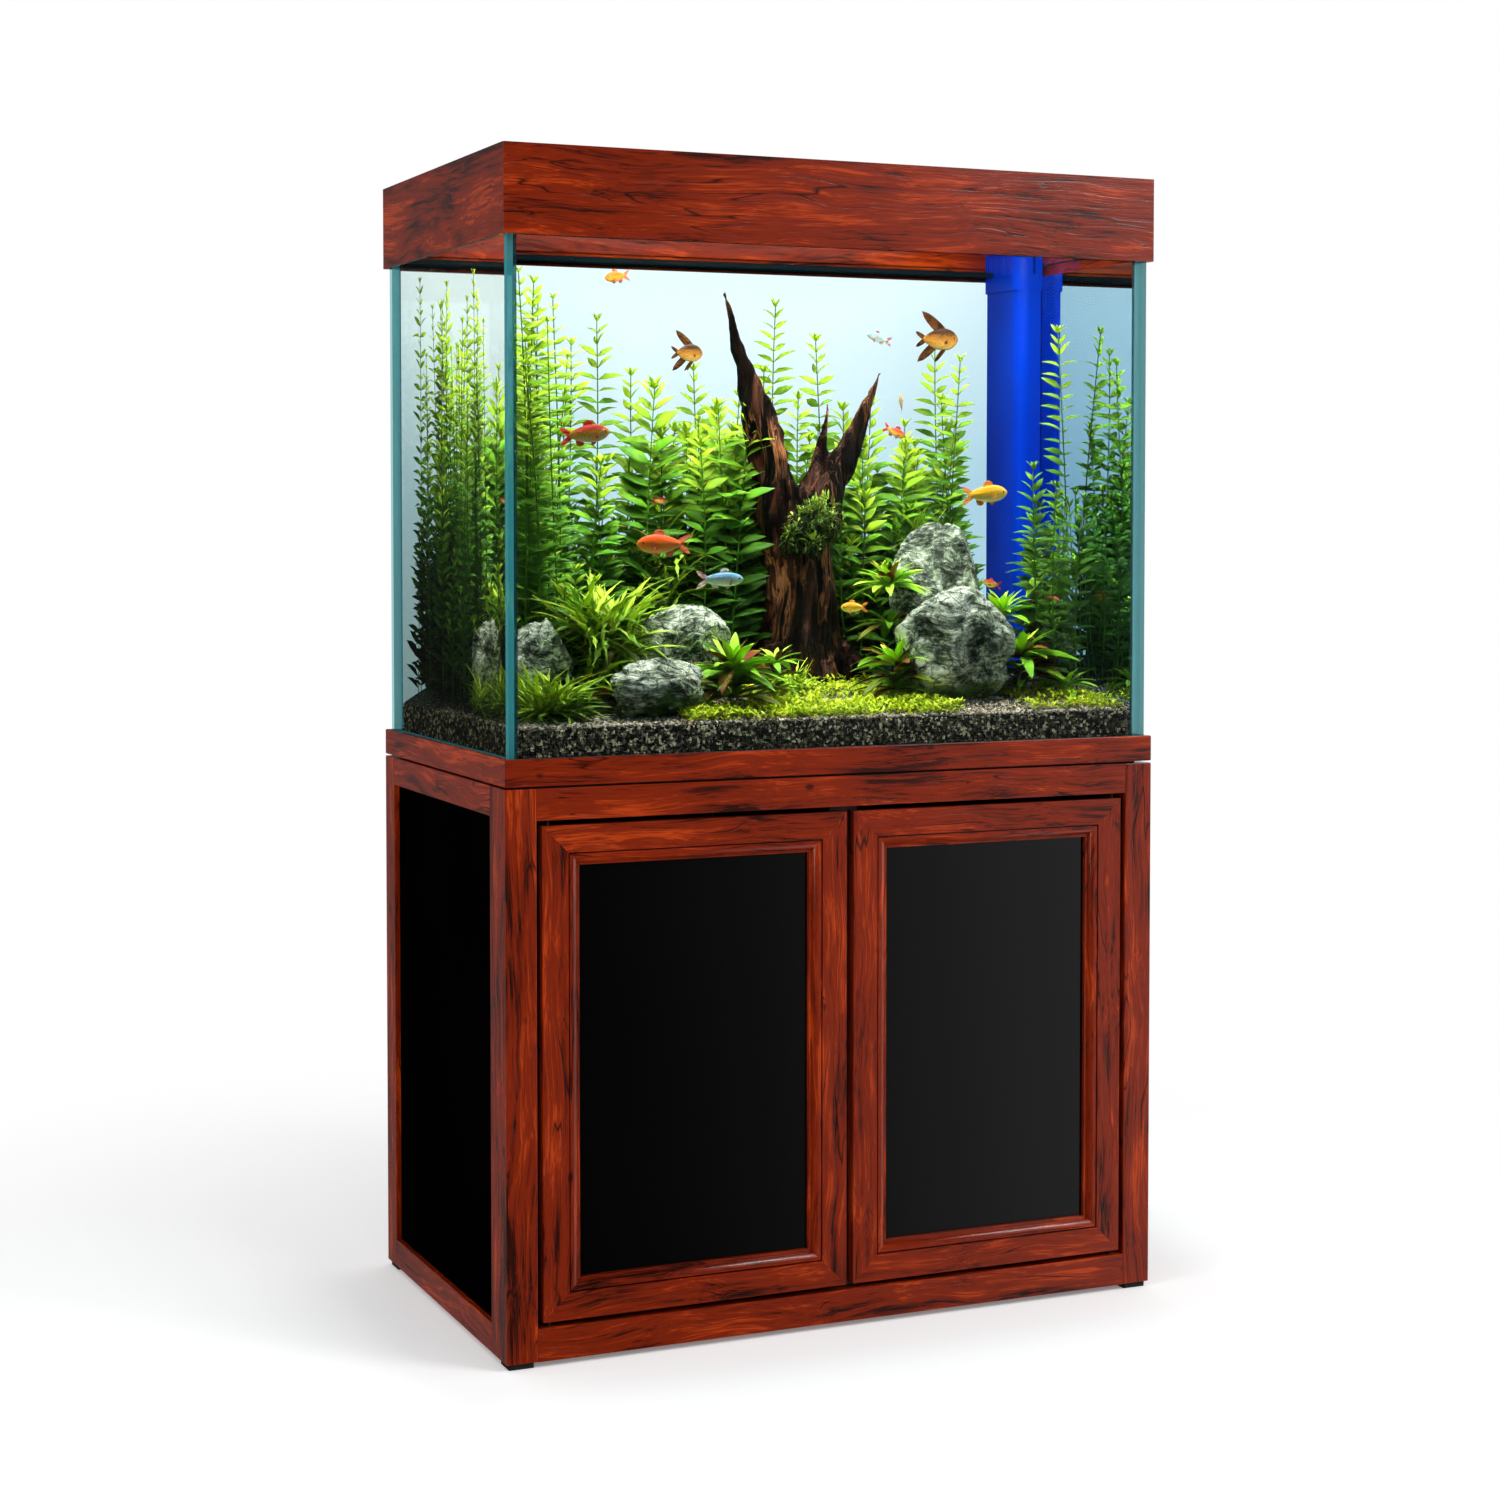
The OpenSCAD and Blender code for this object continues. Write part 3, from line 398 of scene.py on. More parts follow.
class ScapeSettings(bpy.types.PropertyGroup):
    """Sizes and colours of stones, wood and plants"""

    seed: bpy.props.IntProperty(name="Seed", description="Seed of the planting", default=7)
    young: colour("Young leaf", "#AECF28", "Colour of the leaves near the light")
    grown: colour("Grown leaf", "#528C15", "Colour of the leaves half way down")
    old: colour("Old leaf", "#112E09", "Colour of the leaves near the gravel")
    leaf: length("Leaf length", 0.036, "Length of a stem plant's leaves")
    node_gap: length("Leaf distance", 0.0165, "Distance between leaf pairs on a stem")
    grain_size: length("Gravel grain", 0.0045, "Size of the gravel's grains")


class StageSettings(bpy.types.PropertyGroup):
    """Camera and light"""

    lens: number("Lens", 64.22, "Focal length in millimetres", min=10)
    camera: bpy.props.FloatVectorProperty(
        name="Camera", description="Place of the camera", subtype="TRANSLATION", unit="LENGTH",
        default=(-1.6229, -3.6492, 1.1416),
    )
    turn: bpy.props.FloatVectorProperty(
        name="Camera turn", description="Pitch, roll and turn of the camera", subtype="EULER",
        unit="ROTATION", default=(math.radians(87.807), 0.0, math.radians(-23.705)),
    )
    shift: number("Shift", -0.087, "Vertical shift of the lens")
    fill: number("Fill light", 0.72, "Strength of the even light", min=0)
    lift: number("Floor lift", 0.17, "Light the floor gives off itself", min=0)


# ---- Materials ----


def redwood(axis):
    """Stained, lacquered redwood: flowing dark clouds, bright streaks, fine checks, pin knots."""
    s = bpy.context.scene.aquarium_boards
    place = start("lacquered_redwood_" + axis)
    quarter = math.pi / 2
    turn = {"x": (0, 0, 0), "y": (0, 0, quarter), "z": (0, quarter, 0)}[axis]
    along = add(place, "Mapping", {"Vector": place, "Rotation": turn})
    wander = grain(along, 3.2, (1, 2.2, 2.2), 2, out="Color")
    wander = add(along, "VectorMath", {0: wander, 1: (0.5, 0.5, 0.5)}, operation="SUBTRACT")
    flow = bent(along, wander, 0.06)
    cloud = grain(flow, s.cloud, (1, 5, 5), 4, 0.6)
    streak = grain(flow, 6.0, (0.8, 20, 20), 4, 0.6)
    fibre = grain(flow, 12.0, (0.7, 60, 60), 3, 0.6)
    tone = cloud * 0.4 + streak * 0.36 + fibre * 0.24
    wood = add(place, "ValToRGB", {0: tone},
               [(0.405, s.dark), (0.485, s.middle), (0.53, s.middle), (0.6, s.light)])
    # Checks: dark lines where a slow noise crosses its middle, in broken runs of uneven width
    run = grain(flow, 4.0, (0.9, 13, 13), 1.2)
    width = grain(along, 6.0, (1, 3, 3), 1)
    width = add(place, "MapRange", {0: width, 1: 0.52, 2: 0.7, 3: 0.0, 4: 0.03})
    beside = add(place, "MapRange", {0: abs(run - 0.5), 1: 0.0, 2: width})
    check = (1.0 - beside) * (width > 0.0005)
    wood = add(place, "Mix", {0: check * 0.9, 6: wood, 7: "#160502"}, data_type="RGBA")[2]
    # Pin knots, a few millimetres across
    spread = add(along, "Mapping", {"Vector": along, "Scale": (0.6, 1, 1)})
    knot = add(place, "TexVoronoi", {"Vector": spread, "Scale": 13.0})["Distance"]
    knot = add(place, "ValToRGB", {0: knot}, [(0.035, 1), (0.07, 0)])
    wood = add(place, "Mix", {0: knot * 0.8, 6: wood, 7: "#240A05"}, data_type="RGBA")[2]
    gloss = add(place, "MapRange", {0: streak, 1: 0.0, 2: 1.0, 3: 0.2, 4: 0.14})
    relief = streak * 0.6 - check * 0.12
    return end(surface(place, wood, gloss, relief, 0.0008, IOR=1.5, Specular_IOR_Level=0.4))


def black_gloss(name, rough, shine):
    """Black laminate: a deep, even black, hardly grained; its shine tells doors from sides."""
    place = start(name)
    shade = grain(place, 3.0, detail=1)
    shade = add(place, "ValToRGB", {0: shade}, [(0.3, "#010101"), (0.7, "#020202")])
    relief = grain(place, 500.0)
    return end(surface(place, shade, rough, relief, 0.00001, Specular_IOR_Level=shine))


def float_glass(name, axis, body=0.75, edges="LESS_THAN"):
    """Clear float glass: its faces mirror only a little, its cut edges show the iron's teal."""
    s = bpy.context.scene.aquarium_tank
    place = start(name)
    geometry = add(place, "NewGeometry")
    facing = abs(add(place, "SeparateXYZ", {0: geometry["True Normal"]})[axis])
    clear = add(place, "BsdfTransparent", {0: "#FAFDFD"})
    mirror = add(place, "BsdfAnisotropic", {"Color": "#FFFFFF", "Roughness": 0.02})
    # Only a pane's outer faces mirror: seen from inside the glass they would all turn to mirrors
    outer = (1.0 - geometry["Backfacing"]) * 0.12
    sheen = add(place, "Fresnel", {"IOR": GLASS_IOR}) * outer
    face = add(place, "MixShader", {0: sheen, 1: clear, 2: mirror})
    # The edge's teal changes in fine bands, as light travels along the pane
    bands = grain(place, 9.0, (1, 1, 0.15), 1)
    teal = add(place, "Mix", {0: bands, 6: s.edge, 7: "#3F9096"}, data_type="RGBA")[2]
    # Painted light: the teal edge glows a little of itself
    solid = surface(place, teal, 0.12, IOR=1.5, Specular_IOR_Level=0.3, Emission_Color=teal,
                    Emission_Strength=0.12)
    tint = add(place, "BsdfTransparent", {0: "#A9D3D4"})
    edge = add(place, "MixShader", {0: body, 1: tint, 2: solid})
    return end(add(place, "MixShader", {0: facing.math(edges, facing, 0.6), 1: face, 2: edge}))


def water():
    """Aquarium water: bends what the panes show, mirrors it inside, and lets lamps in."""
    place = start("clear_water")
    geometry = add(place, "NewGeometry")
    facing = add(place, "SeparateXYZ", {0: geometry["True Normal"]})
    level = abs(facing[2]) > 0.5
    side = abs(facing[0]) > 0.5
    # Painted shade: seen through its side faces the water is tinted darker, more so downwards, as
    # if light from the side crossed more water the deeper it entered
    rise = add(place, "SeparateXYZ", {0: place})[2]
    painted_depth_shade = add(place, "MapRange", {0: rise, 1: GRAVEL_FRONT, 2: GLASS_TOP - 0.11})
    painted_depth_shade = add(place, "Mix", {0: painted_depth_shade, 6: "#AEB0A2", 7: "#F8F8F2"}, data_type="RGBA")[2]
    # The soft gloss of leaves and stones looks straight out into the dark studio
    ray = add(place, "LightPath")
    soft = ray["Is Reflection Ray"] - ray["Is Singular Ray"]
    lamps = ray["Is Shadow Ray"] | ray["Is Diffuse Ray"] | soft
    bend = {"Roughness": 0.0, "IOR": WATER_IOR}
    enter = add(place, "Mix", {0: side, 6: "#FAFDFE", 7: painted_depth_shade}, data_type="RGBA")[2]
    enter = add(place, "BsdfRefraction", {**bend, "Color": enter})
    # Painted shade: from inside, what is seen out through or mirrored in the side faces is tinted a
    # darker blue-grey
    leave = add(place, "Mix", {0: side, 6: "#FAFDFE", 7: "#A9C4D4"}, data_type="RGBA")[2]
    leave = add(place, "BsdfGlass", {**bend, "Color": leave})
    seen = add(place, "MixShader", {0: geometry["Backfacing"], 1: enter, 2: leave})
    # The water's own colour holds back much of the room's light from the sides, not the lamp's,
    # nor what falls straight on the gravel behind the pane
    dim = add(place, "Mix", {0: side, 6: "#6A777C", 7: "#C0C8C8"}, data_type="RGBA")[2]
    dim = add(place, "Mix", {0: rise < GRAVEL_FRONT, 6: dim, 7: "#C8C8C2"}, data_type="RGBA")[2]
    dim = add(place, "Mix", {0: level, 6: dim, 7: "#FFFFFF"}, data_type="RGBA")[2]
    clear = add(place, "BsdfTransparent", {0: dim})
    return end(add(place, "MixShader", {0: lamps | level, 1: seen, 2: clear}))


def backdrop():
    """Translucent pale blue film with a painted glow, brightest at the top and the middle; its
    dulled base is lit by the tank's lamp.
    """
    s = bpy.context.scene.aquarium_tank
    place = start("painted_glow_film")
    spot = add(place, "SeparateXYZ", {0: place})
    height = add(place, "MapRange", {0: spot[2], 1: GRAVEL_HIGH.z + 0.1, 2: GLASS_TOP})
    aside = add(place, "MapRange", {0: abs(spot[0]), 1: 0.15, 2: HALF_X})
    level = height - aside * 0.35 + grain(place, 3.0, detail=1) * 0.12
    shade = add(place, "ValToRGB", {0: level}, [(0.1, s.sky), (0.85, s.sky_top)])
    facing = add(place, "SeparateXYZ", {0: add(place, "NewGeometry")["True Normal"]})
    inward = add(place, "MapRange", {0: facing[1] < 0.0, 1: 0.0, 2: 1.0, 3: 0.25, 4: 1.0})
    # Painted light: the film's colour glows of itself, so its base is dulled and the glow sets its
    # brightness; its back glows a quarter as much
    dull = add(place, "Mix", {0: 0.65, 6: shade, 7: "#000000"}, data_type="RGBA")[2]
    return end(surface(place, dull, 0.7, Specular_IOR_Level=0.1, Emission_Color=shade,
                       Emission_Strength=inward * s.glow))


def leaves(name, young, grown, old, gloss=0.45):
    """Living leaf: its tone runs from old and dark to young and bright, partly leaf age and partly
    painted shade low down; light shines through.
    """
    place = start(name)
    tone = add(place, "Attribute", attribute_name="tone")["Fac"]
    tone = tone + (grain(place, 45.0, detail=2) - 0.5) * 0.4
    shade = add(place, "ValToRGB", {0: tone}, [(0.08, old), (0.5, grown), (0.9, young)])
    solid = surface(place, shade, gloss, grain(place, 260.0), 0.0004, Specular_IOR_Level=0.35)
    shine = add(place, "BsdfTranslucent", {"Color": shade})
    return end(add(place, "MixShader", {0: 0.35, 1: solid, 2: shine}))


def stone():
    """Weathered river stone: chalky grey with painted shade in near-black patches and dark cracks,
    fine scratches, and moss near its foot.
    """
    place = start("weathered_stone")
    flow = bent(place, grain(place, 14.0, detail=3, out="Color"), 0.05)
    lump = grain(flow, 13.0, detail=8, rough=0.72)
    tone = lump * 0.55 + grain(flow, 60.0, (1, 1, 2.6), 5, 0.75) * 0.45
    # Painted shade: the ramp's near-black end paints dark patches like shade in hollows
    shade = add(place, "ValToRGB", {0: tone},
                [(0.41, "#0B0F0B"), (0.46, "#46503E"), (0.51, "#929C82"), (0.57, "#E8EAD6")])
    # Painted shade: cracks are darkened as if shade lay in them
    shaded_crack = add(place, "TexVoronoi", {"Vector": flow, "Scale": 42.0}, feature="DISTANCE_TO_EDGE")
    shaded_crack = add(place, "ValToRGB", {0: shaded_crack["Distance"]}, [(0.0, 0.6), (0.05, 0)])
    shade = add(place, "Mix", {0: shaded_crack, 6: shade, 7: "#1C2421"}, data_type="RGBA")[2]
    height = add(place, "SeparateXYZ", {0: place})[2]
    foot = add(place, "MapRange", {0: height, 1: GRAVEL_HIGH.z + 0.06, 2: GRAVEL_FRONT})
    moss = foot * grain(place, 30.0, detail=4)
    moss = add(place, "ValToRGB", {0: moss}, [(0.3, 0), (0.45, 0.75)])
    shade = add(place, "Mix", {0: moss, 6: shade, 7: "#4A6A18"}, data_type="RGBA")[2]
    return end(surface(place, shade, 0.72, tone - shaded_crack * 0.3, 0.012, Specular_IOR_Level=0.25))


def bark():
    """Bogwood: nearly black, with copper-brown fibres running along the limbs and ruddy roots."""
    place = start("bogwood")
    flow = bent(place, grain(place, 12.0, (1, 1, 0.5), 2, out="Color"), 0.05)
    fibre = grain(flow, 60.0, (1, 1, 0.1), 4, 0.6)
    ridge = add(place, "ValToRGB", {0: abs(fibre - 0.5)}, [(0.0, 1), (0.05, 0)])
    bare = add(place, "MapRange", {0: grain(place, 13.0, (1, 1, 0.35), 2), 1: 0.5, 2: 0.64})
    shade = add(place, "ValToRGB", {0: fibre},
                [(0.42, "#040302"), (0.54, "#120906"), (0.7, "#4A2413")])
    shade = add(place, "Mix", {0: ridge * bare, 6: shade, 7: "#A8683A"}, data_type="RGBA")[2]
    return end(surface(place, shade, 0.62, fibre + ridge * 0.25, 0.012, Specular_IOR_Level=0.2))


def gravel(name, *shades):
    """Aquarium gravel: every grain has its own shade and a dull, wet surface."""
    place = start(name)
    pick = add(place, "TexVoronoi", {"Vector": place, "Scale": 250.0})["Color"]
    pick = add(place, "SeparateColor", {0: pick})
    shade = add(place, "ValToRGB", {0: pick},
                [(i / len(shades), code) for i, code in enumerate(shades)])
    shade.socket.node.color_ramp.interpolation = "CONSTANT"
    return end(surface(place, shade, 0.5, grain(place, 420.0), 0.0006))


def scales(name, back, side, belly):
    """Fish skin: a darker back, a bright flank and a pale belly, with a wet gloss."""
    place = start(name)
    fleck = add(place, "TexVoronoi", {"Vector": place, "Scale": 420.0})["Distance"]
    tone = add(place, "Attribute", attribute_name="tone")["Fac"] + (fleck - 0.4) * 0.25
    shade = add(place, "ValToRGB", {0: tone}, [(0.15, belly), (0.5, side), (0.85, back)])
    return end(surface(place, shade, 0.28, fleck, 0.0003, Coat_Weight=0.4, Coat_Roughness=0.1))


def fins(name, root, tip):
    """Fish fin: thin ribbed skin that lets light through."""
    place = start(name)
    shade = grain(place, 300.0, (0.2, 1, 1), 2)
    shade = add(place, "ValToRGB", {0: shade}, [(0.35, root), (0.65, tip)])
    shine = add(place, "BsdfTranslucent", {"Color": shade})
    return end(add(place, "MixShader", {0: 0.45, 1: surface(place, shade, 0.4), 2: shine}))


def tower_acrylic():
    """Cast acrylic: an even, deep blue with a little painted glow of its own colour."""
    blue = bpy.context.scene.aquarium_tank.tower
    place = start("blue_cast_acrylic")
    deep = (blue[0] * 0.7, blue[1] * 0.7, blue[2] * 0.85, 1)
    shade = add(place, "ValToRGB", {0: grain(place, 6.0)}, [(0.3, deep), (0.7, blue)])
    ripple = grain(place, 4.0, (1, 1, 0.3))
    # Painted light: the blue glows a little of itself, whatever lamp lights it
    return end(surface(place, shade, 0.22, ripple, 0.0008, Specular_IOR_Level=0.08,
                       Emission_Color=shade, Emission_Strength=0.22))


def opal_acrylic():
    """Opal acrylic of the light bar, lit from within."""
    place = start("opal_acrylic")
    shade = add(place, "ValToRGB", {0: grain(place, 8.0)}, [(0.3, "#F1F6F8"), (0.7, "#FFFFFF")])
    return end(surface(place, shade, 0.35, Emission_Color=shade, Emission_Strength=3.0))


# ---- Operators: one for each group of pieces ----


class AQUARIUM_OT_boards(bpy.types.Operator):
    """Give the wooden boards of stand, doors and hood their lacquer and rounded arrises"""

    bl_idname = "aquarium.boards"
    bl_label = "Wooden boards"

    def execute(self, context):
        s = context.scene.aquarium_boards
        boards = {
            "x": ["top_rails_long", "bottom_rails_long", "plinth_trims_long", "left_door_rails",
                  "right_door_rails", "hood_boards_long", "hood_top_board", "feeding_lid"],
            "y": ["top_rails_side", "bottom_rails_side", "plinth_trims_side", "hood_boards_side"],
            "z": ["front_posts", "rear_posts", "left_door_stiles", "right_door_stiles"],
        }
        for axis, names in boards.items():
            dress(redwood(axis), *names)
            for name in names:
                ease(s.arris * (0.6 if "door" in name else 1), 2, name)
        ply = plain("dark_birch_plywood", "#3A2A20", "#4C382B", 0.6, 25.0)
        dress(ply, "cabinet_floor", "centre_post", "top_board", "back_panel")
        ease(0.0008, 1, "cabinet_floor", "centre_post", "back_panel")
        return {"FINISHED"}


class AQUARIUM_OT_panels(bpy.types.Operator):
    """Give the black panels, the foam mat, the feet and the latches their finishes"""

    bl_idname = "aquarium.panels"
    bl_label = "Panels, mat, feet and latches"

    def execute(self, context):
        dress(black_gloss("black_laminate_side", 0.5, 0.0), "side_panels")
        doors = black_gloss("black_laminate_door", 0.16, 0.5)
        dress(doors, "left_door_panel", "right_door_panel")
        dress(plain("black_foam_mat", "#0C0C0D", "#19191B", 0.9, 400.0), "tank_mat")
        dress(plain("black_rubber", "#0A0A0A", "#151515", 0.8, 200.0), "foot_pads")
        ease(0.002, 2, "foot_pads")
        dress(plain("black_nylon", "#121214", "#1D1D20", 0.45, 120.0), "latch_bodies")
        acetal = plain("grey_acetal", "#26272A", "#2F3034", 0.35, 120.0)
        dress(acetal, "left_latch_plunger", "right_latch_plunger")
        steel = plain("blackened_steel", "#17181A", "#222427", 0.4, 300.0, Metallic=0.6)
        dress(steel, "left_door_pins", "right_door_pins", "lid_hinges", "lid_leaves")
        return {"FINISHED"}


class AQUARIUM_OT_glass(bpy.types.Operator):
    """Give the panes, seams, braces and backdrop their finishes, and fill the tank with water"""

    bl_idname = "aquarium.glass"
    bl_label = "Glass, seams, backdrop and water"

    def execute(self, context):
        s = context.scene.aquarium_tank
        dress(float_glass("float_glass_front_pane", 1), "front_glass")
        dress(float_glass("float_glass_rear_pane", 1, 0.1), "rear_glass")
        dress(float_glass("float_glass_side_pane", 0, 0.8), "left_glass", "right_glass")
        dress(float_glass("float_glass_level_pane", 2), "bottom_glass")
        body = add(start("clear_brace_glass"), "BsdfDiffuse", {"Color": "#16282C"})
        dress(veil("#B9CBCD", 0.3, body), "rim_braces")
        body = surface(start("clear_silicone"), "#1E4A50", 0.3)
        dress(veil("#9CC4C6", 0.35, body), "silicone_seams")
        dress(backdrop(), "backdrop_film")
        # Water: a block between the panes, from the gravel's foot to just under the rim
        gap = s.film_gap
        low = Vector((-HALF_X + gap, -HALF_Y + gap, GRAVEL_LOW.z + gap))
        high = Vector((HALF_X - gap, HALF_Y - gap, GLASS_TOP - s.water_drop))
        bm = bmesh.new()
        place = Matrix.Translation((low + high) / 2) @ Matrix.Diagonal((*(high - low), 1))
        bmesh.ops.create_cube(bm, size=1, matrix=place)
        bmesh.ops.bevel(bm, geom=upright(bm, 0.1), offset=0.0015, segments=1, profile=0.5,
                        material=-1, affect="EDGES")
        settle("water", bm, "tank_glass", water(), smooth=False)
        return {"FINISHED"}


class AQUARIUM_OT_plumbing(bpy.types.Operator):
    """Give the overflow tower, the pipes, the valve and the sump their finishes"""

    bl_idname = "aquarium.plumbing"
    bl_label = "Overflow, pipes and sump"

    def execute(self, context):
        dress(tower_acrylic(), "overflow_tower", "overflow_sleeve")
        ease(0.006, 5, "overflow_tower")
        pvc = plain("grey_pvc_pipe", "#3A3D42", "#494D53", 0.35, 40.0)
        dress(pvc, "drain_standpipe", "drain_pipes", "supply_pipe", "return_riser", "bulkheads")
        black = plain("moulded_black_abs", "#15171A", "#24262A", 0.4, 90.0)
        dress(black, "return_nozzle", "valve_body", "return_pump")
        ease(0.0015, 2, "return_pump", "return_nozzle")
        dress(plain("red_nylon", "#8E1710", "#A3211A", 0.35, 90.0), "valve_lever")
        ease(0.001, 2, "valve_lever")
        sump = float_glass("float_glass_sump", 2, 0.4, "GREATER_THAN")
        dress(sump, "sump_tank", "sump_baffles")
        foam = plain("open_cell_filter_foam", "#0E2A44", "#1B4468", 0.95, 260.0)
        dress(foam, "filter_sponges")
        return {"FINISHED"}


class AQUARIUM_OT_lamp_bar(bpy.types.Operator):
    """Give the light bar in the hood its finishes"""

    bl_idname = "aquarium.lamp_bar"
    bl_label = "Light bar"

    def execute(self, context):
        alu = plain("anodised_aluminium", "#8D9196", "#A4A8AC", 0.35, 200.0, Metallic=1.0)
        dress(alu, "light_housing")
        ease(0.0008, 1, "light_housing")
        dress(opal_acrylic(), "light_diffuser")
        return {"FINISHED"}


def upright(bm, least):
    """The edges of a bmesh that climb by more than the least height."""
    return [e for e in bm.edges if abs((e.verts[0].co - e.verts[1].co).z) > least]


def grain_stamp(size):
    """One angular grain of gravel."""
    bm = bmesh.new()
    bmesh.ops.create_icosphere(bm, subdivisions=1, radius=size / 2)
    for v in bm.verts:
        v.co *= 1 + 0.3 * noise.noise(v.co * 900)
        v.co.z *= 0.8
    stamp = Stamp(bm)
    stamp.mesh.polygons.foreach_set("use_smooth", [False] * len(stamp.mesh.polygons))
    return stamp


def tumble(rng):
    """A random turn."""
    return Euler([rng.uniform(0, 2 * math.pi) for _ in range(3)]).to_matrix().to_4x4()


class AQUARIUM_OT_gravel(bpy.types.Operator):
    """Lay the gravel: the bed's finish, grains along the panes and pale pebbles on top"""

    bl_idname = "aquarium.gravel"
    bl_label = "Gravel"

    def execute(self, context):
        s = context.scene.aquarium_scape
        rng = random.Random(s.seed)
        dark = gravel("dark_gravel", "#050604", "#3E3B2C", "#100F0A", "#7E7A64", "#1C1A12",
                      "#CFC8AA", "#080806", "#545040")
        pale = gravel("pale_pebbles", "#6E6250", "#BBA68A", "#E0D2B8", "#84705A", "#D9B79B",
                      "#4A4438", "#F0E8D8", "#8C8B78")
        size = s.grain_size
        reach = size * 0.64
        step = size * 0.82
        bottom = GRAVEL_LOW.z + size * 0.5
        # The bed itself, drawn in from the panes by the thickness of a layer of grains
        bm = welded("gravel_bed")
        inset = Vector((1 - GRAIN_LAYER / HALF_X, 1 - GRAIN_LAYER / HALF_Y, 1))
        bmesh.ops.scale(bm, vec=inset, verts=bm.verts[:])
        bmesh.ops.bisect_plane(bm, geom=bm.verts[:] + bm.edges[:] + bm.faces[:],
                               plane_co=(LEVEL_STRIP - HALF_X, 0, 0), plane_no=(1, 0, 0))
        for v in bm.verts:
            if v.co.z > GRAVEL_LOW.z + 0.01:
                v.co.z = gravel_z(v.co.y, v.co.x) - 0.001
        settle("gravel_base", bm, "gravel", dark, replaces=["gravel_bed"], smooth=False)
        stamp = grain_stamp(size)

        def lay(bm, x, y, z, grow=1.0):
            spot = Vector([c + rng.uniform(-0.2, 0.2) * size for c in (x, y, z)])
            spot.x = clamp(spot.x, -HALF_X + reach, HALF_X - reach)
            spot.y = max(-HALF_Y + reach, spot.y)
            grow *= rng.uniform(0.8, 1.15)
            stamp.press(bm, Matrix.Translation(spot) @ tumble(rng) @ Matrix.Scale(grow, 4))

        # Grains against the front pane and the left pane, in columns
        for side, half in (("front", HALF_X), ("left", HALF_Y)):
            bm = bmesh.new()
            for column in range(int(2 * half / step)):
                along = -half + step * (column + 0.5)
                x, y = (along, -HALF_Y) if side == "front" else (-HALF_X, along)
                off = (0, reach) if side == "front" else (reach, 0)
                for row in range(int((gravel_z(y, x) - bottom) / step) + 1):
                    lay(bm, x + off[0], y + off[1], bottom + step * row)
            settle("gravel_grains_" + side, bm, "gravel", dark, smooth=False)
        top = bmesh.new()
        for _ in range(PEBBLES):
            back = rng.random() ** 1.8
            y = -HALF_Y + reach + back * HALF_Y * 1.25
            x = rng.uniform(-HALF_X, HALF_X)
            if not -0.05 < x / HALF_X < 0.35 or back < 0.06:
                lay(top, x, y, gravel_z(y, x) + rng.uniform(0, 0.3) * size, 0.95)
        settle("gravel_pebbles", top, "gravel", pale, smooth=False)
        return {"FINISHED"}


def remade(name, voxel):
    """A bmesh of a CAD node's solids as one even skin, ready to be shaped."""
    bm = welded(name)
    bmesh.ops.recalc_face_normals(bm, faces=bm.faces[:])
    obj = show("skin", mesh_of("skin", bm))
    remesh = obj.modifiers.new("remesh", "REMESH")
    remesh.mode = "VOXEL"
    remesh.voxel_size = voxel
    graph = bpy.context.evaluated_depsgraph_get()
    bm = bmesh.new()
    bm.from_mesh(obj.evaluated_get(graph).to_mesh())
    bpy.data.objects.remove(obj)
    return bm


def carve(bm, height):
    """Moves each vertex along its normal by height(place)."""
    bm.normal_update()
    moves = [(v, v.normal * height(v.co)) for v in bm.verts]
    for v, move in moves:
        v.co += move


def boulder(low, high, rng):
    """A boulder that fills a box: a full egg shape, cut by broad facets, with pits and ridges."""
    bm = bmesh.new()
    bmesh.ops.create_icosphere(bm, subdivisions=6, radius=1)
    cuts = []
    for _ in range(16):
        facing = Vector([rng.gauss(0, 1) for _ in range(3)]).normalized()
        cuts.append((facing, rng.uniform(0.72, 0.95)))
    shift = Vector([rng.uniform(-9, 9) for _ in range(3)])
    for v in bm.verts:
        p = Vector([math.copysign(abs(c) ** 0.84, c) for c in v.co])
        for facing, reach in cuts:
            p -= facing * max(0.0, p.dot(facing) - reach) * 0.9
        q = p + shift
        pit = max(0.0, noise.noise(q * 2.6) - 0.12)
        grow = 1 - 0.28 * pit + 0.05 * noise.noise(q * 1.6) - 0.035 * abs(noise.noise(q * 5))
        v.co = p * (grow + 0.012 * noise.fractal(q * 11, 0.7, 2.1, 3))
    points = np.array([v.co for v in bm.verts])
    least, most = points.min(axis=0), points.max(axis=0)
    fill = Vector([(b - a) / (d - c) for a, b, c, d in zip(low, high, least, most)])
    home = Matrix.Translation(-Vector(least))
    place = Matrix.Translation(low) @ Matrix.Diagonal((*fill, 1)) @ home
    bmesh.ops.transform(bm, matrix=place, verts=bm.verts[:])
    return Stamp(bm)


# How much each boulder swells beyond its plain form: across, up
SWELL = [(1.0, 1.0), (1.12, 1.05), (1.35, 1.12), (1.35, 1.08), (1.25, 0.93)]


class AQUARIUM_OT_stones(bpy.types.Operator):
    """Shape the boulders with broad facets, pits and cracks"""

    bl_idname = "aquarium.stones"
    bl_label = "Boulders"

    def execute(self, context):
        rng = random.Random(context.scene.aquarium_scape.seed + 8)
        bm = bmesh.new()
        for (low, high), (across, up) in zip(solids("rocks"), SWELL):
            middle = (low + high) / 2
            middle.z = min(low.z, gravel_z(middle.y, middle.x) - 0.008)
            wide = (high - low) / 2 * across
            top = Vector((0, 0, (high.z - middle.z) * up))
            wide.z = 0
            boulder(middle - wide, middle + wide + top, rng).press(bm, Matrix.Identity(4))
        settle("boulders", bm, "boulder_stone", stone(), replaces=["rocks"])
        return {"FINISHED"}


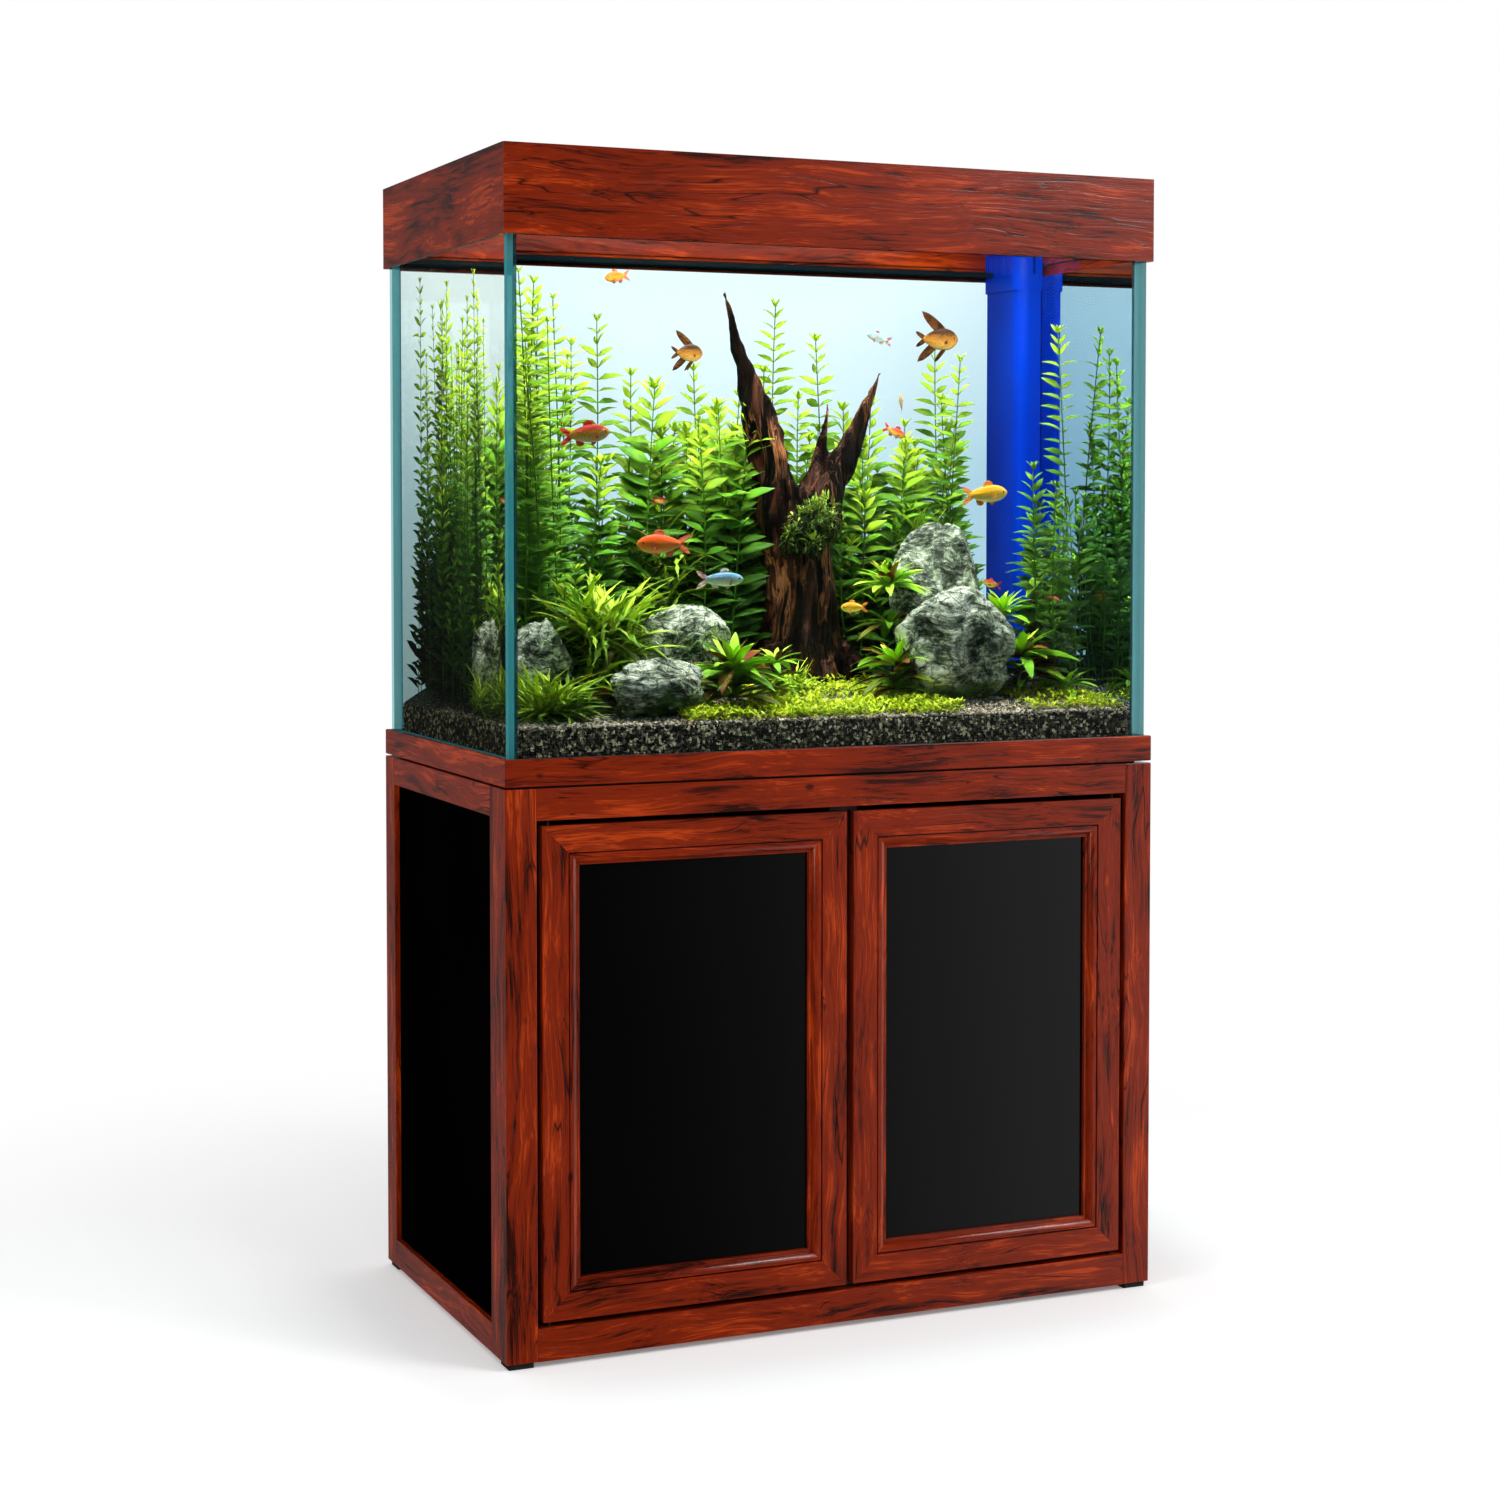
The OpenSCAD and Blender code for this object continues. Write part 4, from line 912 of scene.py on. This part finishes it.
class AQUARIUM_OT_driftwood(bpy.types.Operator):
    """Shape the forked driftwood with pointed limbs, furrows along them and a spread foot"""

    bl_idname = "aquarium.driftwood"
    bl_label = "Driftwood"

    def execute(self, context):
        bm = remade("driftwood", SKIN_GRID)
        for _ in range(8):
            bmesh.ops.smooth_vert(bm, verts=bm.verts[:], factor=0.5, use_axis_x=True,
                                  use_axis_y=True, use_axis_z=True)

        # The limbs, told apart by where they stand, run out to points; the foot spreads
        limbs = [(-1, 0.03), (0.03, 0.1), (0.1, 1)]
        tops = [max(v.co.z for v in bm.verts if a <= v.co.x < b) for a, b in limbs]

        def height(p):
            top = next(top for (a, b), top in zip(limbs, tops) if a <= p.x < b)
            point = max(0.0, 1 - (top - p.z) / 0.14)
            spread = clamp((1.22 - p.z) / 0.25, 0.0, 1.0) * 0.009 + max(0.0, 0.98 - p.z) * 0.12
            along = Vector((p.x, p.y, p.z * 0.1))
            furrow = abs(noise.noise(along * 48))
            lump = noise.noise(Vector((p.x * 14, p.y * 14, p.z * 8)))
            rough = 0.014 * (0.2 - furrow) + 0.008 * lump + 0.005 * noise.noise(along * 130)
            return rough * (1 - 0.5 * point) + spread - 0.007 * point

        carve(bm, height)
        settle("bogwood", bm, "driftwood_bark", bark(), replaces=["driftwood"])
        return {"FINISHED"}


# ---- Planting ----

# Each stem: across and back in parts of the tank's half sizes, and the tip's height above the
# gravel's highest line
STEMS = {
    "stem_plants_left": [(-0.66, 0.75, 0.53), (-0.5, 0.76, 0.51), (-0.39, 0.7, 0.43),
                         (-0.61, 0.55, 0.47), (-0.73, 0.62, 0.56)],
    "stem_plants_middle": [(-0.15, 0.76, 0.44), (0.05, 0.76, 0.44), (0.11, 0.83, 0.54),
                           (0.3, 0.76, 0.49), (-0.2, 0.5, 0.36), (-0.08, 0.45, 0.4)],
    "stem_plants_right": [(0.69, 0.75, 0.48), (0.66, 0.5, 0.46), (0.58, 0.7, 0.36),
                          (0.965, -0.1, 0.5), (0.7, 0.6, 0.4)],
}
# Random fill of each group: count, across from and to, back from and to, heights from and to,
# leaf size, and how bright it is: low and back fills are darker, as painted shade
FILLS = {
    "stem_plants_left": [(28, -0.96, -0.64, -0.12, 0.92, 0.34, 0.575, 0.74, 1.0),
                         (30, -0.93, -0.35, 0.15, 0.9, 0.1, 0.36, 1.1, 0.85)],
    "stem_plants_middle": [(32, -0.38, 0.0, 0.3, 0.9, 0.14, 0.42, 1.35, 0.9),
                           (26, 0.03, 0.42, 0.45, 0.9, 0.14, 0.4, 1.2, 0.9)],
    "stem_plants_right": [(32, 0.36, 0.74, 0.42, 0.9, 0.1, 0.36, 1.15, 0.9),
                          (18, 0.86, 0.97, -0.45, 0.1, 0.06, 0.3, 0.9, 0.55)],
    "dark_undergrowth": [(38, -0.95, -0.1, 0.35, 0.93, 0.06, 0.27, 1.3, 0.4),
                         (48, -0.1, 0.78, 0.45, 0.93, 0.05, 0.25, 1.3, 0.4),
                         (10, -0.93, -0.7, -0.3, 0.3, 0.03, 0.2, 1.0, 0.7)],
}
# Rosettes: across, back, lift above the gravel, leaf length, count of leaves, steepest rise, and
# the share of ruddy leaves
ROSETTES = [(-0.27, -0.6, 0.05, 0.086, 34, 1.35, 0.06), (0.295, -0.45, 0.045, 0.075, 20, 1.3, 0.3),
            (0.36, 0.0, 0.145, 0.072, 36, 1.3, 0.06), (0.74, -0.08, 0.1, 0.07, 28, 1.45, 0.06),
            (0.745, -0.38, 0.05, 0.085, 30, 1.25, 0.3), (0.96, 0.08, 0.16, 0.09, 22, 1.3, 0.06),
            (-0.1, -0.4, 0.05, 0.055, 18, 1.2, 0.06), (0.88, -0.5, 0.01, 0.06, 16, 1.1, 0.06),
            (-0.62, -0.5, 0.02, 0.07, 18, 1.0, 0.06)]
# Fine-leaved tufts: across, back, lift above the gravel, reach, count of fronds
TUFTS = [(-0.6, -0.12, 0.11, 0.105, 380), (-0.5, 0.0, 0.05, 0.1, 260),
         (-0.84, -0.62, 0.01, 0.08, 220), (-0.3, 0.45, 0.2, 0.08, 190),
         (0.56, 0.5, 0.22, 0.07, 130), (0.02, -0.1, 0.0, 0.05, 80), (-0.93, -0.3, 0.02, 0.07, 130)]


def inside(point, margin=0.004):
    """True where a point is in the water, clear of the panes and of the overflow tower."""
    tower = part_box("overflow_tower")[0]
    if abs(point.x) > HALF_X - margin or abs(point.y) > HALF_Y - margin:
        return False
    return not (point.x > tower.x - margin and point.y > tower.y - margin)


def fitted(point, turn, rise, size):
    """A leaf's length, cut down until its tip stays inside the tank."""
    if not inside(point):
        return 0.0
    for _ in range(5):
        tip = point + size * bearing(turn, rise)
        if inside(tip, 0.009) and tip.z < GLASS_TOP - 0.024:
            return size
        size *= 0.62
    return 0.0


def plant(name, bm, material):
    """Holds leaves that would leave the water at its panes and bed, and settles the plants."""
    for v in bm.verts:
        v.co.x = clamp(v.co.x, -HALF_X + PANE_GAP, HALF_X - PANE_GAP)
        v.co.y = clamp(v.co.y, -HALF_Y + PANE_GAP, HALF_Y - PANE_GAP)
        v.co.z = max(GRAVEL_LOW.z + 0.02, v.co.z)
    settle(name, bm, "leaf_green", material, replaces=["plants"])


def ground(u, v):
    """A point on the gravel, given in parts of the tank's half sizes."""
    return Vector((u * HALF_X, v * HALF_Y, gravel_z(v * HALF_Y, u * HALF_X)))


def plant_stem(bm, stalk, blades, rng, foot, height, leaf, gap, light=1.0):
    """One stem: a curved stalk with pairs of leaves, small and bright at its tip."""
    lean = Vector((rng.uniform(-0.02, 0.02), rng.uniform(-0.015, 0.015), 0))
    sway = rng.uniform(0, TURN)

    def path(t):
        curve = 0.007 * math.sin(3.2 * t + sway)
        spot = foot + lean * t * t + Vector((curve, curve * 0.5, height * t))
        spot.x = clamp(spot.x, -HALF_X + 0.012, HALF_X - 0.012)
        return spot

    def shape(base):
        spine = np.array([path(float(t)) for t in base[:, 2] + 0.5])
        spine[:, :2] += base[:, :2] * 0.0016
        return spine

    stalk.press(bm, Matrix.Identity(4), 0.3, shape)
    count = max(3, int(height / gap))
    for i in range(1, count + 1):
        t = i / count
        near = min(1.0, (count - i + 1.2) / 6)
        turn = rng.gauss(-0.4, 0.55)
        rise = math.radians(24 + 40 * (1 - near) + rng.uniform(-8, 14))
        # Painted shade: leaves darken down the stem and with a lower light factor, partly leaf age
        # and partly shade from the leaves above
        tone = light * (0.12 + 0.72 * t**1.3 + 0.3 * (1 - near)) + rng.uniform(-0.08, 0.08)
        for half in (0, math.pi):
            if t < 0.2 and rng.random() < 0.25:
                continue
            size = leaf * (0.35 + 0.65 * near) * rng.uniform(0.85, 1.15)
            size = fitted(path(t), turn + half, rise, size)
            if size:
                roll = rng.uniform(0.4, 1.2) * (1 if half == 0 else -1)
                place = aim(path(t), turn + half, rise, size, roll)
                rng.choice(blades).press(bm, place, tone)
    for turn in (0, 1.6, 3.2, 4.8):
        size = fitted(path(1), turn, 1.2, leaf * 0.45)
        if size:
            blades[0].press(bm, aim(path(1), turn + sway, 1.15, size), light)


class AQUARIUM_OT_stem_plants(bpy.types.Operator):
    """Plant the groups of tall stem plants along the back and the sides"""

    bl_idname = "aquarium.stem_plants"
    bl_label = "Stem plants"

    def execute(self, context):
        s = context.scene.aquarium_scape
        rng = random.Random(s.seed + 1)
        green = leaves("stem_plant_leaf", s.young, s.grown, s.old)
        shapes = ((0.3, 0.22), (0.26, 0.38), (0.34, 0.12))
        blades = [leaf_stamp(width, droop=droop) for width, droop in shapes]
        rod = bmesh.new()
        bmesh.ops.create_cone(rod, segments=5, radius1=1.0, radius2=0.55, depth=1, cap_ends=True)
        bmesh.ops.subdivide_edges(rod, edges=upright(rod, 0.5), cuts=7, use_grid_fill=False)
        stalk = Stamp(rod)
        for name, fills in FILLS.items():
            bm = bmesh.new()
            for u, v, height in STEMS.get(name, []):
                foot = ground(u, v)
                height += GRAVEL_HIGH.z - foot.z
                plant_stem(bm, stalk, blades, rng, foot, height, s.leaf, s.node_gap)
            for count, u0, u1, v0, v1, low, high, leaf, light in fills:
                for _ in range(count):
                    foot = ground(rng.uniform(u0, u1), rng.uniform(v0, v1))
                    if not inside(foot, 0.02):
                        continue
                    height = GRAVEL_HIGH.z + rng.uniform(low, high) - foot.z
                    size = s.leaf * leaf * rng.uniform(0.85, 1.15)
                    gap = s.node_gap * 0.95
                    plant_stem(bm, stalk, blades, rng, foot, height, size, gap, light)
            plant(name, bm, green)
        return {"FINISHED"}


class AQUARIUM_OT_rosettes(bpy.types.Operator):
    """Plant the broad-leaved rosettes"""

    bl_idname = "aquarium.rosettes"
    bl_label = "Rosettes"

    def execute(self, context):
        rng = random.Random(context.scene.aquarium_scape.seed + 2)
        bright = leaves("rosette_leaf", "#B4DC3C", "#6CAE1E", "#6B2A14", 0.38)
        blades = [leaf_stamp(width, 7, 4, droop, 0.3, 1.15, 0.006)
                  for width, droop in ((0.25, 0.3), (0.21, 0.5))]
        bm = bmesh.new()
        for u, v, lift, leaf, count, steep, ruddy in ROSETTES:
            # A lifted rosette stands on older whorls that hide its stalk
            whorls = [(lift, count, steep, 0.9)]
            whorls += [(lift * share, 14, 0.75, 0.55) for share in (0.6, 0.25) if lift > 0.04]
            for up, number, rises, light in whorls:
                heart = ground(u, v) + Vector((0, 0, up + 0.004))
                for i in range(number):
                    share = i / number
                    turn = i * GOLDEN_ANGLE + rng.uniform(-0.2, 0.2)
                    rise = rises * (1 - share) ** 1.3 + 0.1 + rng.uniform(-0.08, 0.08)
                    size = leaf * (0.6 + 0.45 * share) * rng.uniform(0.85, 1.1)
                    size = fitted(heart, turn, rise, size)
                    tone = light - 0.3 * share + rng.uniform(-0.12, 0.12)
                    if rng.random() < ruddy:
                        tone = 0.12
                    if size:
                        spot = aim(heart, turn, rise, size, rng.uniform(-0.3, 0.3))
                        rng.choice(blades).press(bm, spot, tone)
        plant("rosette_plants", bm, bright)
        return {"FINISHED"}


class AQUARIUM_OT_tufts(bpy.types.Operator):
    """Plant the fine-leaved tufts and tie moss on the driftwood"""

    bl_idname = "aquarium.tufts"
    bl_label = "Tufts and moss"

    def execute(self, context):
        rng = random.Random(context.scene.aquarium_scape.seed + 3)
        fern = leaves("fine_fern_frond", "#C2D63A", "#6E9A22", "#3A2A10", 0.5)
        fronds = [leaf_stamp(0.13, 8, 2, droop, 0.1, 0.8, 0.012, 0.7)
                  for droop in (0.2, 0.5, 0.8)]
        bm = bmesh.new()
        for u, v, lift, reach, count in TUFTS:
            for _ in range(count):
                turn = rng.uniform(0, TURN)
                rise = rng.uniform(-0.1, 1.35)
                aside = [rng.uniform(-0.3, 0.3) * reach for _ in range(2)]
                root = ground(u, v) + Vector((*aside, lift * rng.random() ** 0.5 + 0.005))
                size = fitted(root, turn, rise, reach * rng.uniform(0.5, 1.05))
                if size:
                    # Painted light: fronds that rise steeper are toned brighter, as if lit from
                    # above
                    tone = 0.25 + 0.5 * (rise / 1.35) + rng.uniform(-0.15, 0.25)
                    frond = rng.choice(fronds)
                    frond.press(bm, aim(root, turn, rise, size, rng.uniform(-0.6, 0.6)), tone)
        plant("fern_tufts", bm, fern)
        # The moss ball: lumps of short sprigs about a core in the driftwood's fork
        moss = leaves("tied_moss", "#9DB83A", "#4E6B1C", "#141E08", 0.6)
        heart = Vector((0.12 * HALF_X, 0.2 * HALF_Y, GRAVEL_HIGH.z + 0.205))
        bm = bmesh.new()
        core = Matrix.Translation(heart)
        bmesh.ops.create_icosphere(bm, subdivisions=3, radius=0.024, matrix=core)
        sprig = leaf_stamp(0.42, 3, 2, 0.3, 0.2, 0.8, 0.03, 0.5)
        spans = ((-0.034, 0.034), (-0.03, 0.0), (-0.032, 0.03))
        lumps = [(heart + Vector([rng.uniform(*span) for span in spans]), rng.uniform(0.014, 0.026))
                 for _ in range(11)]
        for i in range(MOSS_SPRIGS):
            turn, rise = rng.uniform(0, TURN), rng.uniform(-1.2, 1.5)
            out = bearing(turn, rise)
            lump, reach = lumps[i % len(lumps)]
            root = lump + out * reach * rng.uniform(0.5, 1.0)
            wide = rng.uniform(0.006, 0.014)
            # Painted light: sprigs that face up are toned brighter, as if lit from above
            tone = 0.3 + 0.4 * out.z + rng.uniform(-0.25, 0.3)
            turn += rng.uniform(-1.5, 1.5)
            rise += rng.uniform(-1, 1)
            sprig.press(bm, aim(root, turn, rise, wide), tone)
        settle("moss_ball", bm, "leaf_green", moss)
        return {"FINISHED"}


class AQUARIUM_OT_carpet(bpy.types.Operator):
    """Plant the low green carpet on the gravel"""

    bl_idname = "aquarium.carpet"
    bl_label = "Carpet"

    def execute(self, context):
        rng = random.Random(context.scene.aquarium_scape.seed + 4)
        lawn = leaves("carpet_plant", "#E8EC3A", "#B8D01E", "#5C7A10", 0.5)
        blade = leaf_stamp(0.5, 2, 2, 0.15, 0.1, 0.8, 0.05)
        bm = bmesh.new()
        for _ in range(CARPET_SPRIGS):
            back = rng.random() ** 1.5
            v = -0.985 + 1.1 * back
            u = rng.uniform(-0.47, 0.42) if rng.random() < 0.78 else rng.uniform(0.66, 0.985)
            edge = noise.noise(Vector((u * 7, v * 7, 3.3)))
            if edge < -0.28 or (u > 0.6 and v > -0.3) or (u < -0.2 and v > -0.75 + edge):
                continue
            root = ground(u, v) + Vector((0, 0, rng.uniform(0.001, 0.010) * (1 + edge)))
            turn, rise = rng.uniform(0, TURN), rng.uniform(0.1, 1.1)
            size = fitted(root, turn, rise, rng.uniform(0.007, 0.0115))
            if size:
                blade.press(bm, aim(root, turn, rise, size), 0.35 + 0.5 * rng.random())
        settle("carpet_plants", bm, "leaf_green", lawn, replaces=["plants"])
        return {"FINISHED"}


# ---- Fish ----

# Fish: kind, across, back, height above the gravel's highest line, length, heading and tilt in
# degrees
FISH = [("gold", 0.62, -0.38, 0.255, 0.078, 180, 4), ("orange", -0.49, -0.57, 0.183, 0.082, 0, 0),
        ("red", -0.72, -0.57, 0.335, 0.075, 180, 6), ("orange", -0.6, -0.38, 0.556, 0.045, 20, -8),
        ("silver", -0.3, -0.57, 0.133, 0.074, 180, 0), ("gold", 0.16, -0.4, 0.09, 0.045, 0, 0),
        ("silver", 0.36, 0.2, 0.49, 0.045, 0, 14), ("red", 0.44, 0.2, 0.394, 0.03, 60, 60),
        ("red", 0.42, 0.2, 0.349, 0.04, 150, -25), ("red", -0.34, 0.38, 0.245, 0.03, 200, 0),
        ("orange", 0.9, -0.1, 0.096, 0.05, 180, -12), ("red", 0.72, 0.0, 0.12, 0.035, 10, 10),
        ("angel", -0.25, 0.38, 0.462, 0.055, 190, 0), ("angel", 0.53, 0.0, 0.487, 0.07, 170, 0)]
# Kinds of fish: depth, width and sail in parts of the length, shades of back, side and belly, and
# shades of the fins' roots and tips
KINDS = {
    "gold": ((0.3, 0.16, 0.16), ("#E0941A", "#F2C02A", "#F7E08A"), ("#E8791A", "#F6C66A")),
    "orange": ((0.3, 0.16, 0.16), ("#D9480F", "#F07A1A", "#F6A94A"), ("#C8341A", "#F0A07A")),
    "red": ((0.3, 0.16, 0.16), ("#8E2012", "#C9962E", "#D8C07A"), ("#B01E12", "#E2604A")),
    "silver": ((0.24, 0.13, 0.14), ("#5F8FA8", "#B9CDBE", "#E6E9D8"), ("#C43A2A", "#E9EEF0")),
    "angel": ((0.44, 0.12, 0.62), ("#24140A", "#8E5C1C", "#C4974A"), ("#3A1E0C", "#7A4A1E")),
}


def fish_stamps(depth, width, sail):
    """Stamps of a fish of length 1 that looks along -X: its body, its fins and its eyes."""
    bm = bmesh.new()
    bmesh.ops.create_uvsphere(bm, u_segments=20, v_segments=16, radius=0.5,
                              matrix=turned(math.pi / 2, "Y"))
    for v in bm.verts:
        t = v.co.x + 0.5
        plump = t**0.62 * (1 - t) ** 0.95 / 0.344 if 0 < t < 1 else 0
        around = math.hypot(v.co.y, v.co.z) or 1
        ring = (v.co.y / around, v.co.z / around)
        root = 0.035 * t
        v.co = Vector((0.8 * t - 0.45, ring[0] * (plump * width / 2 + root * 0.5),
                       ring[1] * (plump * depth / 2 + root) + 0.012))
    bmesh.ops.remove_doubles(bm, verts=bm.verts[:], dist=0.0005)
    bmesh.ops.recalc_face_normals(bm, faces=bm.faces[:])
    body = Stamp(bm, 0)
    # Fins: swept blades that narrow to a point; each is place, lean, length, root width and
    # sideways turn. Tail, back and belly fins come first, then the paired ones
    plan = [((0.3, 0, 0.02), 0.62, 0.27, 0.085, 0), ((0.3, 0, 0.004), -0.62, 0.27, 0.085, 0),
            ((-0.08, 0, depth * 0.42), 0.75, sail, 0.2, 0),
            ((0.12, 0, -depth * 0.3), -0.75, sail * 0.8, 0.16, 0)]
    for side in (1, -1):
        plan.append(((-0.14, side * 0.01, -depth * 0.4), -0.9, 0.6 * sail, 0.07, side * 0.3))
    for side in (1, -1):
        plan.append(((-0.2, side * width * 0.45, -0.03), -0.4, 0.13, 0.06, side * 0.7))
    bm = bmesh.new()
    for place, lean, reach, root, aside in plan:
        blade = bmesh.new()
        bmesh.ops.create_grid(blade, x_segments=5, y_segments=2, size=0.5)
        for v in blade.verts:
            t, across = v.co.x + 0.5, v.co.y
            wide = root * (1 - t) ** 0.7 * (1 + 1.2 * t) + 0.006
            v.co = Vector((t * reach, 0.006 * math.sin(7 * t), across * wide))
        bmesh.ops.solidify(blade, geom=blade.faces[:], thickness=0.006)
        swing = Matrix.Translation(place) @ turned(aside, "Z") @ turned(-lean, "Y")
        bmesh.ops.transform(blade, matrix=swing, verts=blade.verts[:])
        bmesh.ops.recalc_face_normals(blade, faces=blade.faces[:])
        bm.from_mesh(mesh_of("fin", blade))
    fin = Stamp(bm, 1)
    bm = bmesh.new()
    for side in (-1, 1):
        spot = Matrix.Translation((-0.35, side * width * 0.3, depth * 0.06 + 0.012))
        bmesh.ops.create_uvsphere(bm, u_segments=8, v_segments=6, radius=0.02, matrix=spot)
    return body, fin, Stamp(bm, 2)


class AQUARIUM_OT_fish(bpy.types.Operator):
    """Put the fish in the water"""

    bl_idname = "aquarium.fish"
    bl_label = "Fish"

    def execute(self, context):
        eye = plain("fish_eye", "#050505", "#0A0A0A", 0.1)
        for kind, (shape, skin, fin) in KINDS.items():
            stamps = fish_stamps(*shape)
            # The body's tone runs from the belly up to the back
            tones = (stamps[0].base[:, 2] / shape[0] + 0.5, 0.5, 0.5)
            bm = bmesh.new()
            for name, u, v, height, size, heading, tilt in FISH:
                if name != kind:
                    continue
                place = Vector((u * HALF_X, v * HALF_Y, GRAVEL_HIGH.z + height))
                turn = turned(math.radians(heading), "Z") @ turned(math.radians(tilt), "Y")
                spot = Matrix.Translation(place) @ turn @ Matrix.Diagonal((size, size, size, 1))
                for stamp, tone in zip(stamps, tones):
                    stamp.press(bm, spot, tone)
            settle("fish_" + kind, bm, "leaf_green", scales("fish_skin_" + kind, *skin),
                   fins("fish_fin_" + kind, *fin), eye)
        return {"FINISHED"}


# ---- Stage ----


def area_lamp(name, place, target, size, watts):
    """A white soft box that looks at a target."""
    data = bpy.data.lights.new(name, "AREA")
    data.shape = "RECTANGLE"
    data.size, data.size_y = size
    data.energy = watts
    lamp = show(name, data)
    lamp.location = place
    lamp.rotation_euler = (Vector(target) - Vector(place)).to_track_quat("-Z", "Y").to_euler()
    return lamp


def set_camera(s):
    """The camera that the settings describe."""
    camera = show("camera", bpy.data.cameras.new("camera"))
    camera.location = s.camera
    camera.rotation_euler = s.turn
    camera.data.sensor_width = 36
    camera.data.lens = s.lens
    camera.data.shift_y = s.shift
    bpy.context.scene.camera = camera


def set_floor(lift):
    """White floor: keeps the shadow near the object and turns plain white far away."""
    bm = bmesh.new()
    bmesh.ops.create_circle(bm, cap_ends=True, segments=64, radius=14)
    floor = show("floor", mesh_of("floor", bm))
    place = start("white_floor")
    away = add(place, "VectorMath", {0: place}, operation="LENGTH")["Value"]
    away = add(place, "MapRange", {0: away, 1: 0.75, 2: 1.9}, interpolation_type="SMOOTHSTEP")
    ray = add(place, "LightPath")
    lit = add(place, "BsdfDiffuse", {"Color": "#FAFAFA"})
    lit = add(place, "AddShader", {0: lit, 1: add(place, "Emission", {"Strength": lift})})
    # Gloss looks past the floor into the studio, so that panels and lacquer stay dark
    past = add(place, "BsdfTransparent")
    lit = add(place, "MixShader", {0: ray["Is Glossy Ray"], 1: lit, 2: past})
    white = add(place, "Emission", {"Strength": 1.0})
    seen = ray["Is Camera Ray"] | ray["Is Transmission Ray"]
    floor.data.materials.append(end(add(place, "MixShader", {0: away * seen, 1: lit, 2: white})))


def set_world(fill):
    """World: even light on the object, plain white where it is seen, and a studio for gloss."""
    world = bpy.data.worlds.new("studio")
    bpy.context.scene.world = world
    world.use_nodes = True
    world.node_tree.nodes.clear()
    # Gloss mirrors a dark studio in front that brightens towards the right, the top and behind
    way = add(world, "TexCoord")["Generated"]
    way = add(world, "SeparateXYZ", {0: way})
    right = add(world, "MapRange", {0: way[0], 1: 0.35, 2: 0.66, 3: 0.0, 4: 0.85},
                interpolation_type="SMOOTHSTEP")
    behind = add(world, "MapRange", {0: way[1], 1: 0.0, 2: 0.7, 3: 0.0, 4: 0.14})
    high = add(world, "MapRange", {0: way[2], 1: 0.0, 2: 0.12, 3: 1.0, 4: 2.2})
    even, room, white = [
        add(world, "Background", {"Color": "#FFFFFF", "Strength": strength})
        for strength in (fill, right * high | behind, 1.0)
    ]
    ray = add(world, "LightPath")
    light = add(world, "MixShader", {0: ray["Is Glossy Ray"], 1: even, 2: room})
    seen = ray["Is Camera Ray"] | ray["Is Transmission Ray"]
    add(world, "OutputWorld", {"Surface": add(world, "MixShader", {0: seen, 1: light, 2: white})})


class AQUARIUM_OT_stage(bpy.types.Operator):
    """Set the floor, the light and the camera"""

    bl_idname = "aquarium.stage"
    bl_label = "Stage"

    def execute(self, context):
        s = context.scene.aquarium_stage
        set_camera(s)
        context.scene.view_settings.view_transform = "Standard"
        set_floor(s.lift)
        set_world(s.fill)
        area_lamp("key_softbox", (2.6, -3.0, 3.2), (0, 0, 0.8), (1.6, 1.6), 75)
        area_lamp("left_softbox", (-3.4, -1.4, 2.0), (0, 0, 0.8), (1.2, 2.0), 27)
        # The lamp over the water, and its glow on the hood's rear board
        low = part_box("light_diffuser")[0].z
        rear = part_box("rear_glass")[1].y
        spot, target = (0, -0.02, low - 0.004), (0, -0.02, 0)
        tank_lamp = area_lamp("tank_lamp", spot, target, (0.84, 0.36), 13)
        tank_lamp.data.spread = math.radians(75)
        spot, target = (0, -0.2, low - 0.035), (0, rear, low - 0.03)
        glow = area_lamp("hood_glow", spot, target, (0.8, 0.02), 5.5)
        for lamp in (tank_lamp, glow):
            lamp.visible_glossy = lamp.visible_transmission = False
        return {"FINISHED"}


STEPS = [
    AQUARIUM_OT_boards, AQUARIUM_OT_panels, AQUARIUM_OT_glass, AQUARIUM_OT_plumbing,
    AQUARIUM_OT_lamp_bar, AQUARIUM_OT_gravel, AQUARIUM_OT_stones, AQUARIUM_OT_driftwood,
    AQUARIUM_OT_stem_plants, AQUARIUM_OT_rosettes, AQUARIUM_OT_tufts, AQUARIUM_OT_carpet,
    AQUARIUM_OT_fish, AQUARIUM_OT_stage,
]
SETTINGS = {
    "aquarium_boards": BoardSettings, "aquarium_tank": TankSettings,
    "aquarium_scape": ScapeSettings, "aquarium_stage": StageSettings,
}


class AQUARIUM_PT_panel(bpy.types.Panel):
    """Lists the aquarium's settings and its groups of pieces"""

    bl_idname = "AQUARIUM_PT_panel"
    bl_label = "Aquarium on stand"
    bl_space_type = "VIEW_3D"
    bl_region_type = "UI"
    bl_category = "Aquarium"

    def draw(self, context):
        for key, group in SETTINGS.items():
            box = self.layout.box()
            for name in group.__annotations__:
                box.prop(getattr(context.scene, key), name)
        for step in STEPS:
            self.layout.operator(step.bl_idname)


CLASSES = [*SETTINGS.values(), *STEPS, AQUARIUM_PT_panel]


def register():
    for kind in CLASSES:
        bpy.utils.register_class(kind)
    for key, group in SETTINGS.items():
        setattr(bpy.types.Scene, key, bpy.props.PointerProperty(type=group))


def unregister():
    for key in SETTINGS:
        delattr(bpy.types.Scene, key)
    for kind in reversed(CLASSES):
        bpy.utils.unregister_class(kind)


def main():
    """Registers the classes and builds every group in order."""
    register()
    for step in STEPS:
        getattr(bpy.ops.aquarium, step.bl_idname.split(".")[1])()


if __name__ == "__main__":
    main()
